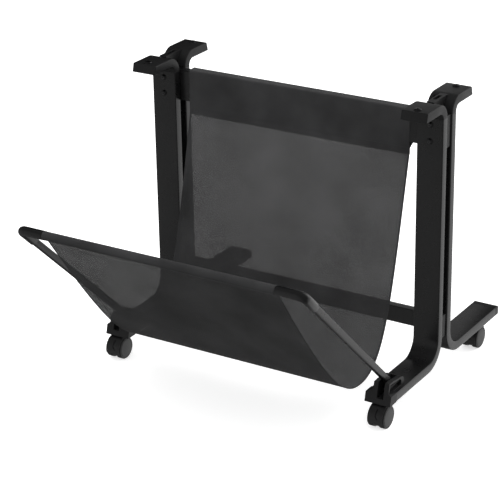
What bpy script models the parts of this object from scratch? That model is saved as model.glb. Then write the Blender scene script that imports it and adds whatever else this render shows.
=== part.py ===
"""Mobile stand for a wide desktop printer: four flat-tube legs with moulded pads on top, two cross beams, a
folding mesh basket and four twin-wheel swivel casters.

Units are metres. +X is the stand's right as seen from the front, -Y is the front, +Z is up, and the floor
is z = 0. Every size below is measured from the middle plane between the front and the rear legs, and the
empty "stand" moves that plane so that the origin lies under the middle of the whole stand.
"""

import math

import bmesh
import bpy
from mathutils import Vector

# Overall
PAD_TOP = 0.647
HALF_WIDTH = 0.358
FRONT_REACH = 0.2485
REAR_REACH = 0.278
PAD_REACH = 0.102
PAD_DRAFT = 0.005

# Small sizes used throughout
GAP = 0.0003
MARGIN = 0.003
BEVEL = 0.001
INNER_CORNER = 0.0012

# Legs: flat tube, bent out at the bottom into a foot, with a moulded pad on top that bends the same way
LEG_WIDTH = 0.060
LEG_THICK = 0.020
LEG_WALL = 0.0015
LEG_CORNER = 0.0025
LEG_X = HALF_WIDTH - LEG_WIDTH / 2
POST_NEAR = 0.0103
POST_FAR = POST_NEAR + LEG_THICK
PAD_BEND = 0.034
FOOT_BEND = 0.062
FOOT_BOTTOM = 0.055
FOOT_TOP = FOOT_BOTTOM + LEG_THICK
PAD_ROOT = PAD_TOP - PAD_BEND
PAD_SPIGOT = 0.010
FOOT_PLUG_FACE = 0.015
BRACKET_CAP = 0.0285
PLUG_DEPTH = 0.008

# Cross beams
BEAM_THICK = 2 * (POST_NEAR - GAP)
BEAM_WALL = 0.0015
BEAM_CORNER = 0.002
BEAM_HALF = 0.3517
BEAM_PLUG_FACE = 0.003
UPPER_BEAM = (0.5435, 0.6135)
LOWER_BEAM = (0.125, 0.163)
LOWER_BLOCK_BOTTOM = 0.111
LOWER_LUG_X = 0.303
WEB_WIDTH = 0.017
WEB_REACH = 0.032

# Fasteners
BOLT_Z = (0.598, 0.562)
LOWER_BOLT_Z = 0.144
BOLT_RADIUS = 0.003
BOLT_HEAD = 0.0065
BOLT_HEAD_HEIGHT = 0.0042
BOLT_TIP = 0.016
PAD_SCREW_Y = 0.088
PAD_SCREW_HEAD = 0.008
PAD_SCREW_HEIGHT = 0.0032
PAD_SCREW_RADIUS = 0.002
PAD_SCREW_DEPTH = 0.009
HOLE_PLAY = 0.0003

# Basket frame
ARM_X = 0.3325
ARM_WIDTH = 0.011
ARM_DEPTH = 0.016
ARM_CORNER = 0.0042
ARM_WALL = 0.0015
PIVOT_Y = -0.2071
PIVOT_Z = 0.091
PIN_RADIUS = 0.003
TUBE_Y = -0.554
TUBE_Z = 0.420
TUBE_RADIUS = 0.0085
TUBE_WALL = 0.0012
ELBOW_RADIUS = 0.010
ELBOW_INNER_X = 0.2735
ELBOW_BEND = 0.013
COLLAR_LENGTH = 0.056
SOCKET_DEPTH = 0.026

# Arm bracket on each front foot
BRACKET_BASE_TOP = 0.0762
BRACKET_TOP = 0.1015
BRACKET_REAR_TOP = 0.0805
BRACKET_REAR_Y = -0.171
BRACKET_REAR_CURVE = 0.016
BLOCK_HALF = 0.018
BLOCK_EDGE = 0.002
INNER_SHOULDER_Z = 0.0835
OUTER_SHOULDER_Z = 0.0795
BRACKET_LEAN = math.tan(math.radians(14))
BRACKET_TONGUE = 0.014
SLOT_WIDTH = 0.015
SLOT_FLOOR = 0.0665
SLOT_REAR_Y = -0.184
POCKET_DEPTH = 0.0085
POCKET = ((-0.2375, 0.0790), (-0.1835, 0.0785), (-0.1845, 0.0880), (-0.1890, 0.0925), (-0.2335, 0.0970))
PIN_REACH = 0.016

# Basket fabric
FABRIC_HALF = 0.273
FABRIC_THICK = 0.0008
SPLIT_GAP = 0.0003
BAND_TOP = 0.6175
BAND_FACE = 0.0120
BAND_SEAM_Z = 0.532
HEM_Z = 0.517
LAYER_STEP = 0.0014
SLEEVE_RADIUS = 0.0091
SLEEVE_SEAM = 0.0145
REAR_DROP = ((-0.0125, 0.517), (-0.086, 0.205), (-0.113, 0.0766), (-0.215, 0.0735))
FRONT_RISE = ((-0.215, 0.0735), (-0.284, 0.0714), (-0.349, 0.1275), None)

# Casters
CASTER_X = 0.331
WHEEL_RADIUS = 0.025
WHEEL_INNER = 0.0060
WHEEL_OUTER = 0.0203
AXLE_RADIUS = 0.003
AXLE_HALF = 0.0178
TRAIL = 0.0235
CASTER_FRONT_Y = -0.2145
CASTER_REAR_Y = 0.2271
HOOD_INNER = 0.0256
HOOD_OUTER = 0.0272
HOOD_HALF = 0.0172
WEB_HALF = 0.0054
WEB_LOW_RADIUS = 0.0226
HOOD_FRONT = math.radians(-16)
HOOD_BACK = math.radians(140)
STEM_RADIUS = 0.004
STEM_FLANGE = 0.009
STEM_BOTTOM = 0.034
STEM_TOP = 0.064
FLANGE_BOTTOM = 0.0527
SWIVEL_HOUSING = 0.0057
HOUSING_BOTTOM = 0.026

BLACK_PAINT = ((0.021, 0.021, 0.022), 0.36, 0.0)
BLACK_PLASTIC = ((0.016, 0.016, 0.017), 0.48, 0.0)
DARK_STEEL = ((0.10, 0.10, 0.105), 0.35, 1.0)
MESH_CLOTH = ((0.028, 0.028, 0.030), 0.85, 0.0)
TREAD = ((0.024, 0.024, 0.025), 0.60, 0.0)

SIDES = (("left", -1), ("right", 1))
ENDS = (("front", -1), ("rear", 1))


# ---------------------------------------------------------------- scene helpers


def clear_scene():
    for obj in list(bpy.data.objects):
        bpy.data.objects.remove(obj, do_unlink=True)


def add_empty(name, location, parent=None):
    """An empty, which remembers its place in the stand's own measures for what it carries."""
    empty = bpy.data.objects.new(name, None)
    empty.empty_display_size = 0.03
    bpy.context.scene.collection.objects.link(empty)
    empty.location = location
    empty["place"] = (0.0, 0.0, 0.0)
    if parent is not None:
        empty["place"] = location
        empty.parent = parent
        empty.location = Vector(location) - Vector(parent["place"])
    return empty


def make_material(name, look):
    colour, roughness, metallic = look
    material = bpy.data.materials.new(name)
    material.use_nodes = True
    shader = material.node_tree.nodes["Principled BSDF"]
    shader.inputs["Base Color"].default_value = (*colour, 1.0)
    shader.inputs["Roughness"].default_value = roughness
    shader.inputs["Metallic"].default_value = metallic
    material.diffuse_color = (*colour, 1.0)
    return material


def add_object(name, bm, parent, origin, look=None):
    """Makes an object of bm, whose origin is the given place, under the given empty."""
    bmesh.ops.recalc_face_normals(bm, faces=bm.faces)
    bmesh.ops.translate(bm, vec=-Vector(origin), verts=bm.verts)
    mesh = bpy.data.meshes.new(name)
    bm.to_mesh(mesh)
    bm.free()
    return place_mesh(name, mesh, parent, origin, look)


def place_mesh(name, mesh, parent, origin, look=None):
    obj = bpy.data.objects.new(name, mesh)
    bpy.context.scene.collection.objects.link(obj)
    obj.parent = parent
    obj.location = Vector(origin) - Vector(parent["place"])
    obj["place"] = origin
    if look is not None:
        mesh.materials.append(make_material(name, look))
    return obj


def joined(shapes):
    """One bmesh of several that don't touch."""
    whole = bmesh.new()
    for bm in shapes:
        mesh = bpy.data.meshes.new("shape")
        bm.to_mesh(mesh)
        bm.free()
        whole.from_mesh(mesh)
        bpy.data.meshes.remove(mesh)
    return whole


def boolean(obj, operation, *shapes):
    """Joins the shapes to the object or cuts them from it, as one Boolean that freeze() applies."""
    tool = add_object("tool", joined(shapes), obj.parent, obj["place"])
    tool.hide_render = True
    tool.display_type = "WIRE"
    modifier = obj.modifiers.new(operation.title(), "BOOLEAN")
    modifier.operation = operation
    modifier.solver = "EXACT"
    modifier.object = tool


def freeze(obj):
    """Replaces the object's mesh by its evaluated one, and removes its modifiers and their helper solids."""
    tools = [modifier.object for modifier in obj.modifiers]
    bpy.context.view_layer.update()
    graph = bpy.context.evaluated_depsgraph_get()
    mesh = bpy.data.meshes.new_from_object(obj.evaluated_get(graph))
    mesh.name = obj.name
    obj.modifiers.clear()
    obj.data = mesh
    for tool in tools:
        bpy.data.objects.remove(tool, do_unlink=True)


def round_shade(obj, angle=35):
    obj.data.shade_smooth()
    obj.data.set_sharp_from_angle(angle=math.radians(angle))


# ---------------------------------------------------------------- shape helpers


def arc(centre, radius, start, end, steps):
    """Points on an arc, with angles in radians."""
    points = []
    for index in range(steps + 1):
        angle = start + (end - start) * index / steps
        x = centre[0] + radius * math.cos(angle)
        y = centre[1] + radius * math.sin(angle)
        points.append((x, y))
    return points


def rounded_rect(width, height, corner, steps=1):
    points = []
    for index, (sx, sy) in enumerate(((1, 1), (-1, 1), (-1, -1), (1, -1))):
        centre = (sx * (width / 2 - corner), sy * (height / 2 - corner))
        start = index * math.pi / 2
        points += arc(centre, corner, start, start + math.pi / 2, steps)
    return points


def circle(radius, segments):
    return arc((0, 0), radius, 0, 2 * math.pi * (segments - 1) / segments, segments - 1)


def bezier(points, steps):
    curve = []
    for index in range(steps + 1):
        t = index / steps
        weights = ((1 - t) ** 3, 3 * t * (1 - t) ** 2, 3 * t * t * (1 - t), t**3)
        y = sum(w * p[0] for w, p in zip(weights, points))
        z = sum(w * p[1] for w, p in zip(weights, points))
        curve.append((y, z))
    return curve


def loft(rings):
    """A closed solid through rings of equal point count, with a flat cap on its first and last ring."""
    bm = bmesh.new()
    rows = [[bm.verts.new(point) for point in ring] for ring in rings]
    for near, far in zip(rows, rows[1:]):
        count = len(near)
        for index in range(count):
            after = (index + 1) % count
            bm.faces.new((near[index], near[after], far[after], far[index]))
    bm.faces.new(rows[0])
    bm.faces.new(reversed(rows[-1]))
    return bm


def tube_loft(outer, inner):
    """An open-ended tube: outer and inner are lists of rings with equal counts."""
    bm = bmesh.new()
    rows = [[bm.verts.new(point) for point in ring] for ring in outer]
    rows += [[bm.verts.new(point) for point in ring] for ring in reversed(inner)]
    for near, far in zip(rows, rows[1:] + rows[:1]):
        count = len(near)
        for index in range(count):
            after = (index + 1) % count
            bm.faces.new((near[index], near[after], far[after], far[index]))
    return bm


def turned(profile, axis, centre, segments=16):
    """A solid of revolution about an axis through centre. The profile runs from pole to pole as
    (distance along the axis, radius), and its first and last radius are 0."""
    bm = bmesh.new()
    frame = {"X": ("Y", "Z"), "Y": ("Z", "X"), "Z": ("X", "Y")}[axis]
    unit = {"X": Vector((1, 0, 0)), "Y": Vector((0, 1, 0)), "Z": Vector((0, 0, 1))}
    rows = []
    for along, radius in profile:
        middle = Vector(centre) + unit[axis] * along
        if radius == 0:
            rows.append([bm.verts.new(middle)])
            continue
        offsets = circle(radius, segments)
        rows.append([bm.verts.new(middle + unit[frame[0]] * a + unit[frame[1]] * b) for a, b in offsets])
    for near, far in zip(rows, rows[1:]):
        for index in range(segments):
            after = (index + 1) % segments
            corners = [near[0]] if len(near) == 1 else [near[index], near[after]]
            corners += [far[0]] if len(far) == 1 else [far[after], far[index]]
            bm.faces.new(corners)
    return bm


def prism(outline, start, end, axis="X"):
    """A flat outline pushed along an axis. The outline is in (Y, Z) for X, and in (X, Z) for Y."""
    if axis == "X":
        rings = [[(at, a, b) for a, b in outline] for at in (start, end)]
    else:
        rings = [[(a, at, b) for a, b in outline] for at in (start, end)]
    return loft(rings)


def block(low, high):
    outline = [(low[1], low[2]), (high[1], low[2]), (high[1], high[2]), (low[1], high[2])]
    return prism(outline, low[0], high[0])


def rod(axis, centre, start, end, radius, segments=12):
    profile = ((start, 0), (start, radius), (end, radius), (end, 0))
    return turned(profile, axis, centre, segments)


def strip_outline(path, thickness):
    """The outline of a thin strip that follows a path of (y, z) points."""
    left, right = [], []
    for index, point in enumerate(path):
        here = Vector(point)
        before = Vector(path[max(index - 1, 0)])
        after = Vector(path[min(index + 1, len(path) - 1)])
        first = (here - before).normalized() if index else (after - here).normalized()
        second = (after - here).normalized() if index < len(path) - 1 else first
        normal_a = Vector((-first.y, first.x))
        normal_b = Vector((-second.y, second.x))
        middle = (normal_a + normal_b).normalized()
        reach = thickness / 2 / max(middle.dot(normal_a), 0.5)
        left.append(tuple(here + middle * reach))
        right.append(tuple(here - middle * reach))
    return left + right[::-1]


# ---------------------------------------------------------------- legs, pads and foot plugs


def bend_stations(reach, z, bend, start, steps):
    """Places round a quarter bend as (reach, z, outward direction), from a centre, a radius and a start angle."""
    stations = []
    for index in range(steps + 1):
        angle = start + 0.5 * math.pi * index / steps
        middle = bend - LEG_THICK / 2
        stations.append((reach + middle * math.cos(angle), z + middle * math.sin(angle), angle))
    return stations


def leg_rings(x, facing, stations, width, thick, corner):
    rings = []
    for reach, z, angle in stations:
        ring = []
        for a, b in rounded_rect(width, thick, corner):
            ring.append((x + a, facing * (reach + b * math.cos(angle)), z + b * math.sin(angle)))
        rings.append(ring)
    return rings


def make_leg(name, side, end, facing):
    x = side * LEG_X
    foot_end = REAR_REACH - FOOT_PLUG_FACE - GAP if end == "rear" else FRONT_REACH - BRACKET_CAP - GAP
    stations = [(POST_NEAR + LEG_THICK / 2, PAD_ROOT - GAP, math.pi)]
    stations += bend_stations(POST_NEAR + FOOT_BEND, FOOT_BOTTOM + FOOT_BEND, FOOT_BEND, math.pi, 8)
    stations.append((foot_end, FOOT_BOTTOM + LEG_THICK / 2, math.pi * 1.5))
    hollow = (LEG_WIDTH - 2 * LEG_WALL, LEG_THICK - 2 * LEG_WALL, INNER_CORNER)
    outer = leg_rings(x, facing, stations, LEG_WIDTH, LEG_THICK, LEG_CORNER)
    inner = leg_rings(x, facing, stations, *hollow)
    leg = add_object(name, tube_loft(outer, inner), STAND, (x, facing * POST_NEAR, FOOT_BOTTOM), BLACK_PAINT)
    holes = []
    for z in BOLT_Z + (LOWER_BOLT_Z,):
        whole = (end == "front") == (z != LOWER_BOLT_Z)
        reach = POST_FAR + MARGIN if whole else POST_NEAR + LEG_WALL + MARGIN
        start, stop = sorted((facing * (POST_NEAR - MARGIN), facing * reach))
        holes.append(rod("Y", (x, 0, z), start, stop, BOLT_RADIUS + HOLE_PLAY))
    foot = (side * CASTER_X, CASTER_FRONT_Y if end == "front" else CASTER_REAR_Y, FOOT_BOTTOM)
    holes.append(rod("Z", foot, -MARGIN, LEG_WALL + MARGIN, STEM_RADIUS + HOLE_PLAY))
    boolean(leg, "DIFFERENCE", *holes)
    freeze(leg)
    round_shade(leg)


def drafted(rings, facing):
    """Slopes a pad's end rings outward towards their lower edge, as a moulded face is."""
    return [[(x, y + facing * PAD_DRAFT * (PAD_TOP - z) / LEG_THICK, z) for x, y, z in ring] for ring in rings]


def make_pad(name, side, facing):
    """A moulded pad: a spigot in the leg's top, a quarter bend as wide and thick as the leg, and a sloped end."""
    x = side * LEG_X
    play = 2 * (LEG_WALL + GAP)
    spigot = (LEG_WIDTH - play, LEG_THICK - play, INNER_CORNER)
    face = (LEG_WIDTH - 2 * BEVEL, LEG_THICK - 2 * BEVEL, LEG_CORNER - BEVEL)
    root = (POST_NEAR + LEG_THICK / 2, PAD_ROOT, math.pi)
    tip = (POST_NEAR + LEG_THICK / 2, PAD_ROOT - PAD_SPIGOT, math.pi)
    bend = bend_stations(POST_NEAR + PAD_BEND, PAD_ROOT, PAD_BEND, 0.5 * math.pi, 6)
    flat = PAD_TOP - LEG_THICK / 2
    rings = leg_rings(x, facing, (tip, root), *spigot)
    rings += leg_rings(x, facing, bend[::-1], LEG_WIDTH, LEG_THICK, LEG_CORNER)
    end = leg_rings(x, facing, [(PAD_REACH - BEVEL, flat, 0.5 * math.pi)], LEG_WIDTH, LEG_THICK, LEG_CORNER)
    end += leg_rings(x, facing, [(PAD_REACH, flat, 0.5 * math.pi)], *face)
    rings += drafted(end, facing)
    pad = add_object(name, loft(rings), STAND, (x, facing * POST_NEAR, PAD_ROOT), BLACK_PLASTIC)
    hole = rod("Z", (x, facing * PAD_SCREW_Y, PAD_TOP), -PAD_SCREW_DEPTH - GAP, MARGIN, PAD_SCREW_RADIUS + HOLE_PLAY)
    boolean(pad, "DIFFERENCE", hole)
    freeze(pad)
    round_shade(pad)


def make_foot_plug(side_name, side):
    """A plug in a rear foot's open end: a face of the tube's own outline, and a smaller tongue inside."""
    x = side * LEG_X
    z = FOOT_BOTTOM + LEG_THICK / 2
    face = rounded_rect(LEG_WIDTH, LEG_THICK, LEG_CORNER)
    edge = rounded_rect(LEG_WIDTH - 2 * BEVEL, LEG_THICK - 2 * BEVEL, LEG_CORNER - BEVEL)
    play = 2 * (LEG_WALL + GAP)
    tongue = rounded_rect(LEG_WIDTH - play, LEG_THICK - play, INNER_CORNER)
    seat = REAR_REACH - FOOT_PLUG_FACE
    rows = ((tongue, seat - PLUG_DEPTH), (tongue, seat), (face, seat), (face, REAR_REACH - BEVEL), (edge, REAR_REACH))
    rings = [[(x + a, y, z + b) for a, b in row] for row, y in rows]
    plug = add_object(f"rear_{side_name}_foot_plug", loft(rings), STAND, (x, REAR_REACH, z), BLACK_PLASTIC)
    round_shade(plug)


def make_legs():
    for side_name, side in SIDES:
        for end, facing in ENDS:
            make_leg(f"{end}_{side_name}_leg", side, end, facing)
            make_pad(f"{end}_{side_name}_pad", side, facing)
        make_foot_plug(side_name, side)


# ---------------------------------------------------------------- cross beams


def beam_rings(low, high, thick, corner, places):
    middle = (low + high) / 2
    return [[(x, a, middle + b) for a, b in rounded_rect(thick, high - low, corner)] for x in places]


def make_beam(name, low, high, bolt_rows):
    places = (-BEAM_HALF, BEAM_HALF)
    outer = beam_rings(low, high, BEAM_THICK, BEAM_CORNER, places)
    inner = beam_rings(low + BEAM_WALL, high - BEAM_WALL, BEAM_THICK - 2 * BEAM_WALL, INNER_CORNER, places)
    beam = add_object(name, tube_loft(outer, inner), STAND, (0, 0, (low + high) / 2), BLACK_PAINT)
    places = [(x, 0, z) for x in (-LEG_X, LEG_X) for z in bolt_rows]
    boolean(beam, "DIFFERENCE", *[rod("Y", place, -POST_FAR, POST_FAR, BOLT_RADIUS + HOLE_PLAY) for place in places])
    freeze(beam)
    round_shade(beam)


def beam_plug_rings(side, low, high, face_low):
    """Rings of a beam's end plug, from the tongue's tip to the outer face."""
    play = BEAM_WALL + GAP
    seat = BEAM_HALF + GAP
    face = seat + BEAM_PLUG_FACE
    tongue = beam_rings(low + play, high - play, BEAM_THICK - 2 * play, INNER_CORNER, (seat - PLUG_DEPTH, seat))
    plate = beam_rings(face_low, high, BEAM_THICK, BEAM_CORNER, (seat, face - BEVEL))
    plate += beam_rings(face_low + BEVEL, high - BEVEL, BEAM_THICK - 2 * BEVEL, BEAM_CORNER, (face,))
    return [[(side * x, y, z) for x, y, z in ring] for ring in tongue + plate]


def make_upper_plug(side_name, side):
    rings = beam_plug_rings(side, *UPPER_BEAM, UPPER_BEAM[0])
    origin = (side * BEAM_HALF, 0, sum(UPPER_BEAM) / 2)
    plug = add_object(f"upper_beam_{side_name}_plug", loft(rings), STAND, origin, BLACK_PLASTIC)
    round_shade(plug)


def make_lower_block(side_name, side):
    """The lower beam's end plug, with a lug under the beam that fills the gap between the legs."""
    rings = beam_plug_rings(side, *LOWER_BEAM, LOWER_BLOCK_BOTTOM)
    origin = (side * BEAM_HALF, 0, LOWER_BEAM[0])
    plug = add_object(f"lower_beam_{side_name}_block", loft(rings), STAND, origin, BLACK_PLASTIC)
    near, far = sorted((side * LOWER_LUG_X, side * (BEAM_HALF + 0.002)))
    half = BEAM_THICK / 2
    lug = block((near, -half, LOWER_BLOCK_BOTTOM + 0.0002), (far, half, LOWER_BEAM[0] - GAP))
    boolean(plug, "UNION", lug)
    freeze(plug)
    round_shade(plug)


def make_top_web(side_name, side):
    """The upright web in the valley between a front and a rear pad, level with their tops."""
    reach = POST_NEAR + PAD_BEND
    radius = PAD_BEND + GAP
    start = math.pi - math.asin((UPPER_BEAM[1] + GAP - PAD_ROOT) / radius)
    stop = math.pi - math.acos((reach - WEB_REACH) / radius)
    flank = arc((reach, PAD_ROOT), radius, start, stop, 6)
    outline = flank + [(WEB_REACH, PAD_TOP), (-WEB_REACH, PAD_TOP)] + [(-y, z) for y, z in reversed(flank)]
    x = side * LEG_X
    bm = prism(outline, x - WEB_WIDTH / 2, x + WEB_WIDTH / 2)
    add_object(f"{side_name}_top_web", bm, STAND, (x, 0, PAD_TOP), BLACK_PLASTIC)


def make_beams():
    make_beam("upper_beam", *UPPER_BEAM, BOLT_Z)
    make_beam("lower_beam", *LOWER_BEAM, (LOWER_BOLT_Z,))
    for side_name, side in SIDES:
        make_upper_plug(side_name, side)
        make_lower_block(side_name, side)
        make_top_web(side_name, side)


# ---------------------------------------------------------------- fasteners


def make_bolt(name, x, z, facing):
    """A dome-head bolt whose head lies on the leg's far face, on the side that facing names."""
    seat = POST_FAR + GAP
    crown = seat + BOLT_HEAD_HEIGHT
    profile = [(facing * crown, 0)]
    profile += [(facing * (crown - 0.0006), 0.0030), (facing * (crown - 0.0020), 0.0054)]
    profile += [(facing * seat, BOLT_HEAD), (facing * seat, BOLT_RADIUS)]
    profile += [(-facing * BOLT_TIP, BOLT_RADIUS), (-facing * BOLT_TIP, 0)]
    bolt = add_object(name, turned(profile, "Y", (x, 0, z), 12), STAND, (x, facing * seat, z), DARK_STEEL)
    round_shade(bolt)


def make_pad_screw(name, x, y):
    seat = PAD_TOP + GAP
    crown = seat + PAD_SCREW_HEIGHT
    profile = [(crown, 0), (crown - 0.0004, 0.0036), (crown - 0.0014, 0.0060)]
    profile += [(seat, PAD_SCREW_HEAD), (seat, PAD_SCREW_RADIUS)]
    profile += [(PAD_TOP - PAD_SCREW_DEPTH, PAD_SCREW_RADIUS), (PAD_TOP - PAD_SCREW_DEPTH, 0)]
    screw = add_object(name, turned(profile, "Z", (x, y, 0), 12), STAND, (x, y, seat), DARK_STEEL)
    round_shade(screw)


def make_fasteners():
    for side_name, side in SIDES:
        x = side * LEG_X
        for place, z in zip(("top", "bottom"), BOLT_Z):
            make_bolt(f"upper_beam_{side_name}_{place}_bolt", x, z, -1)
        make_bolt(f"lower_beam_{side_name}_bolt", x, LOWER_BOLT_Z, 1)
        for end, facing in ENDS:
            make_pad_screw(f"{end}_{side_name}_pad_screw", x, facing * PAD_SCREW_Y)


# ---------------------------------------------------------------- arm brackets


def bracket_front(side):
    """The bracket's front part: a base as wide as the foot, shoulders, and a narrower block, all leaning back."""
    low = LEG_X - LEG_WIDTH / 2
    high = LEG_X + LEG_WIDTH / 2
    near = ARM_X - BLOCK_HALF
    far = ARM_X + BLOCK_HALF
    outline = [(low, FOOT_BOTTOM), (high, FOOT_BOTTOM), (high, BRACKET_BASE_TOP), (far, OUTER_SHOULDER_Z)]
    outline += [(far, BRACKET_TOP - BLOCK_EDGE), (far - BLOCK_EDGE, BRACKET_TOP)]
    outline += [(near + BLOCK_EDGE, BRACKET_TOP), (near, BRACKET_TOP - BLOCK_EDGE)]
    outline += [(near, INNER_SHOULDER_Z), (low, BRACKET_BASE_TOP)]
    outline = [(side * x, z) for x, z in outline]
    bm = prism(outline, -FRONT_REACH, -FRONT_REACH + BRACKET_CAP, axis="Y")
    bm.verts.ensure_lookup_table()
    for vertex in bm.verts[: len(outline)]:
        vertex.co.y += (vertex.co.z - FOOT_BOTTOM) * BRACKET_LEAN
    return bm


def bracket_side():
    """The outline of the bracket's rear part from the side: its top falls slowly, then curves down."""
    joint = -FRONT_REACH + BRACKET_CAP - 0.004
    centre = (BRACKET_REAR_Y - BRACKET_REAR_CURVE, BRACKET_REAR_TOP)
    curve = arc(centre, BRACKET_REAR_CURVE, 0, 0.5 * math.pi, 4)
    outline = [(joint, FOOT_TOP + GAP), (BRACKET_REAR_Y, FOOT_TOP + GAP)]
    return outline + curve + [(joint, BRACKET_TOP - GAP)]


def make_bracket(side_name, side):
    x = side * LEG_X
    arm_x = side * ARM_X
    cap_rear = -FRONT_REACH + BRACKET_CAP
    pivot = (arm_x, PIVOT_Y, PIVOT_Z)
    bracket = add_object(f"{side_name}_arm_bracket", bracket_front(side), STAND, pivot, BLACK_PLASTIC)

    body = prism(bracket_side(), arm_x - BLOCK_HALF + GAP, arm_x + BLOCK_HALF - GAP)
    boolean(bracket, "UNION", body)
    play = 2 * (LEG_WALL + GAP)
    tongue_rear = cap_rear + BRACKET_TONGUE
    tongue = rounded_rect(LEG_WIDTH - play, LEG_THICK - play, INNER_CORNER)
    tongue = [(x + a, FOOT_BOTTOM + LEG_THICK / 2 + b) for a, b in tongue]
    boolean(bracket, "UNION", prism(tongue, cap_rear - 0.004, tongue_rear, axis="Y"))

    ahead = -FRONT_REACH - 0.01
    above = BRACKET_TOP + 0.01
    outline = [(ahead, SLOT_FLOOR), (tongue_rear + 0.001, SLOT_FLOOR), (tongue_rear + 0.001, FOOT_TOP - 0.0005)]
    outline += [(SLOT_REAR_Y, FOOT_TOP - 0.0005), (SLOT_REAR_Y, above), (ahead, above)]
    boolean(bracket, "DIFFERENCE", prism(outline, arm_x - SLOT_WIDTH / 2, arm_x + SLOT_WIDTH / 2))
    stem = (side * CASTER_X, CASTER_FRONT_Y, 0)
    boolean(bracket, "DIFFERENCE", rod("Z", stem, FOOT_BOTTOM - 0.01, STEM_TOP + 0.001, STEM_RADIUS + HOLE_PLAY))
    face = side * (ARM_X + BLOCK_HALF)
    start, stop = sorted((face - side * POCKET_DEPTH, face + side * 0.01))
    boolean(bracket, "DIFFERENCE", prism(POCKET, start, stop))
    start, stop = sorted((-side * PIN_REACH - side * GAP, side * BLOCK_HALF))
    boolean(bracket, "DIFFERENCE", rod("X", pivot, start, stop, PIN_RADIUS + HOLE_PLAY))
    freeze(bracket)
    round_shade(bracket)

    start, stop = sorted((-side * PIN_REACH, side * (BLOCK_HALF - POCKET_DEPTH)))
    pin = rod("X", pivot, start, stop, PIN_RADIUS)
    round_shade(add_object(f"{side_name}_pivot_pin", pin, STAND, pivot, DARK_STEEL))


# ---------------------------------------------------------------- basket frame


def arm_direction():
    return Vector((0, TUBE_Y - PIVOT_Y, TUBE_Z - PIVOT_Z)).normalized()


def arm_length():
    return Vector((0, TUBE_Y - PIVOT_Y, TUBE_Z - PIVOT_Z)).length


def arm_ring(x, along, width, depth, corner):
    """The arm's cross-section at a distance from its pivot."""
    direction = arm_direction()
    across = Vector((0, direction.z, -direction.y))
    middle = Vector((x, PIVOT_Y, PIVOT_Z)) + direction * along
    ring = []
    for a, b in rounded_rect(width, depth, corner, 2):
        ring.append(middle + Vector((a, 0, 0)) + across * b)
    return ring


def make_arm(side_name, side):
    x = side * ARM_X
    tip = arm_length() - COLLAR_LENGTH + SOCKET_DEPTH - 0.001
    hollow = (ARM_WIDTH - 2 * ARM_WALL, ARM_DEPTH - 2 * ARM_WALL, ARM_CORNER - ARM_WALL)
    rings = [arm_ring(x, along, *hollow) for along in (0.020, tip)]
    rings.append(arm_ring(x, tip, ARM_WIDTH, ARM_DEPTH, ARM_CORNER))
    rings.append(arm_ring(x, 0, ARM_WIDTH, ARM_DEPTH, ARM_CORNER))
    for step in (1, 2, 3):
        angle = step * math.radians(24)
        depth = ARM_DEPTH * math.cos(angle)
        corner = min(ARM_CORNER, depth / 2.2)
        rings.append(arm_ring(x, -ARM_DEPTH / 2 * math.sin(angle), ARM_WIDTH, depth, corner))
    arm = add_object(f"{side_name}_arm", loft(rings), BAIL, (x, PIVOT_Y, PIVOT_Z), BLACK_PAINT)
    boolean(arm, "DIFFERENCE", rod("X", (x, PIVOT_Y, PIVOT_Z), -0.01, 0.01, PIN_RADIUS + HOLE_PLAY))
    freeze(arm)
    round_shade(arm)


def elbow_ring(centre, heading, flat, radius):
    """A round section of the elbow, square to its heading, in the elbow's own plane."""
    normal = flat.cross(heading).normalized()
    return [centre + flat * a + normal * b for a, b in circle(radius, 14)]


def make_elbow(side_name, side):
    """The corner piece: a socket for the front tube, a bend, and a collar down the arm."""
    sideways = Vector((side, 0, 0))
    down = -arm_direction()
    flat = sideways.cross(down).normalized()
    corner = Vector((side * ARM_X, TUBE_Y, TUBE_Z))
    bend_centre = corner - sideways * ELBOW_BEND + down * ELBOW_BEND
    rings = [elbow_ring(Vector((side * ELBOW_INNER_X, TUBE_Y, TUBE_Z)), sideways, flat, ELBOW_RADIUS)]
    for index in range(7):
        angle = math.radians(15) * index
        middle = bend_centre + (sideways * math.sin(angle) - down * math.cos(angle)) * ELBOW_BEND
        heading = sideways * math.cos(angle) + down * math.sin(angle)
        rings.append(elbow_ring(middle, heading, flat, ELBOW_RADIUS))
    rings.append(elbow_ring(corner + down * COLLAR_LENGTH, down, flat, ELBOW_RADIUS))
    elbow = add_object(f"{side_name}_corner_elbow", loft(rings), BAIL, tuple(corner), BLACK_PLASTIC)

    start, stop = sorted((side * (ELBOW_INNER_X - 0.01), side * (ELBOW_INNER_X + SOCKET_DEPTH)))
    socket = rod("X", (0, TUBE_Y, TUBE_Z), start, stop, TUBE_RADIUS + GAP, 20)
    size = (ARM_WIDTH + 2 * GAP, ARM_DEPTH + 2 * GAP, ARM_CORNER + GAP)
    base = arm_length() - COLLAR_LENGTH
    rings = [arm_ring(side * ARM_X, along, *size) for along in (base - 0.01, base + SOCKET_DEPTH)]
    boolean(elbow, "DIFFERENCE", socket, loft(rings))
    freeze(elbow)
    round_shade(elbow)


def make_front_tube():
    half = ELBOW_INNER_X + SOCKET_DEPTH - 0.001
    sizes = (TUBE_RADIUS, TUBE_RADIUS - TUBE_WALL)
    outer, inner = [
        [[(x, TUBE_Y + a, TUBE_Z + b) for a, b in circle(radius, 20)] for x in (-half, half)] for radius in sizes
    ]
    tube = add_object("front_tube", tube_loft(outer, inner), BAIL, (0, TUBE_Y, TUBE_Z), BLACK_PAINT)
    round_shade(tube)


# ---------------------------------------------------------------- basket fabric


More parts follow.
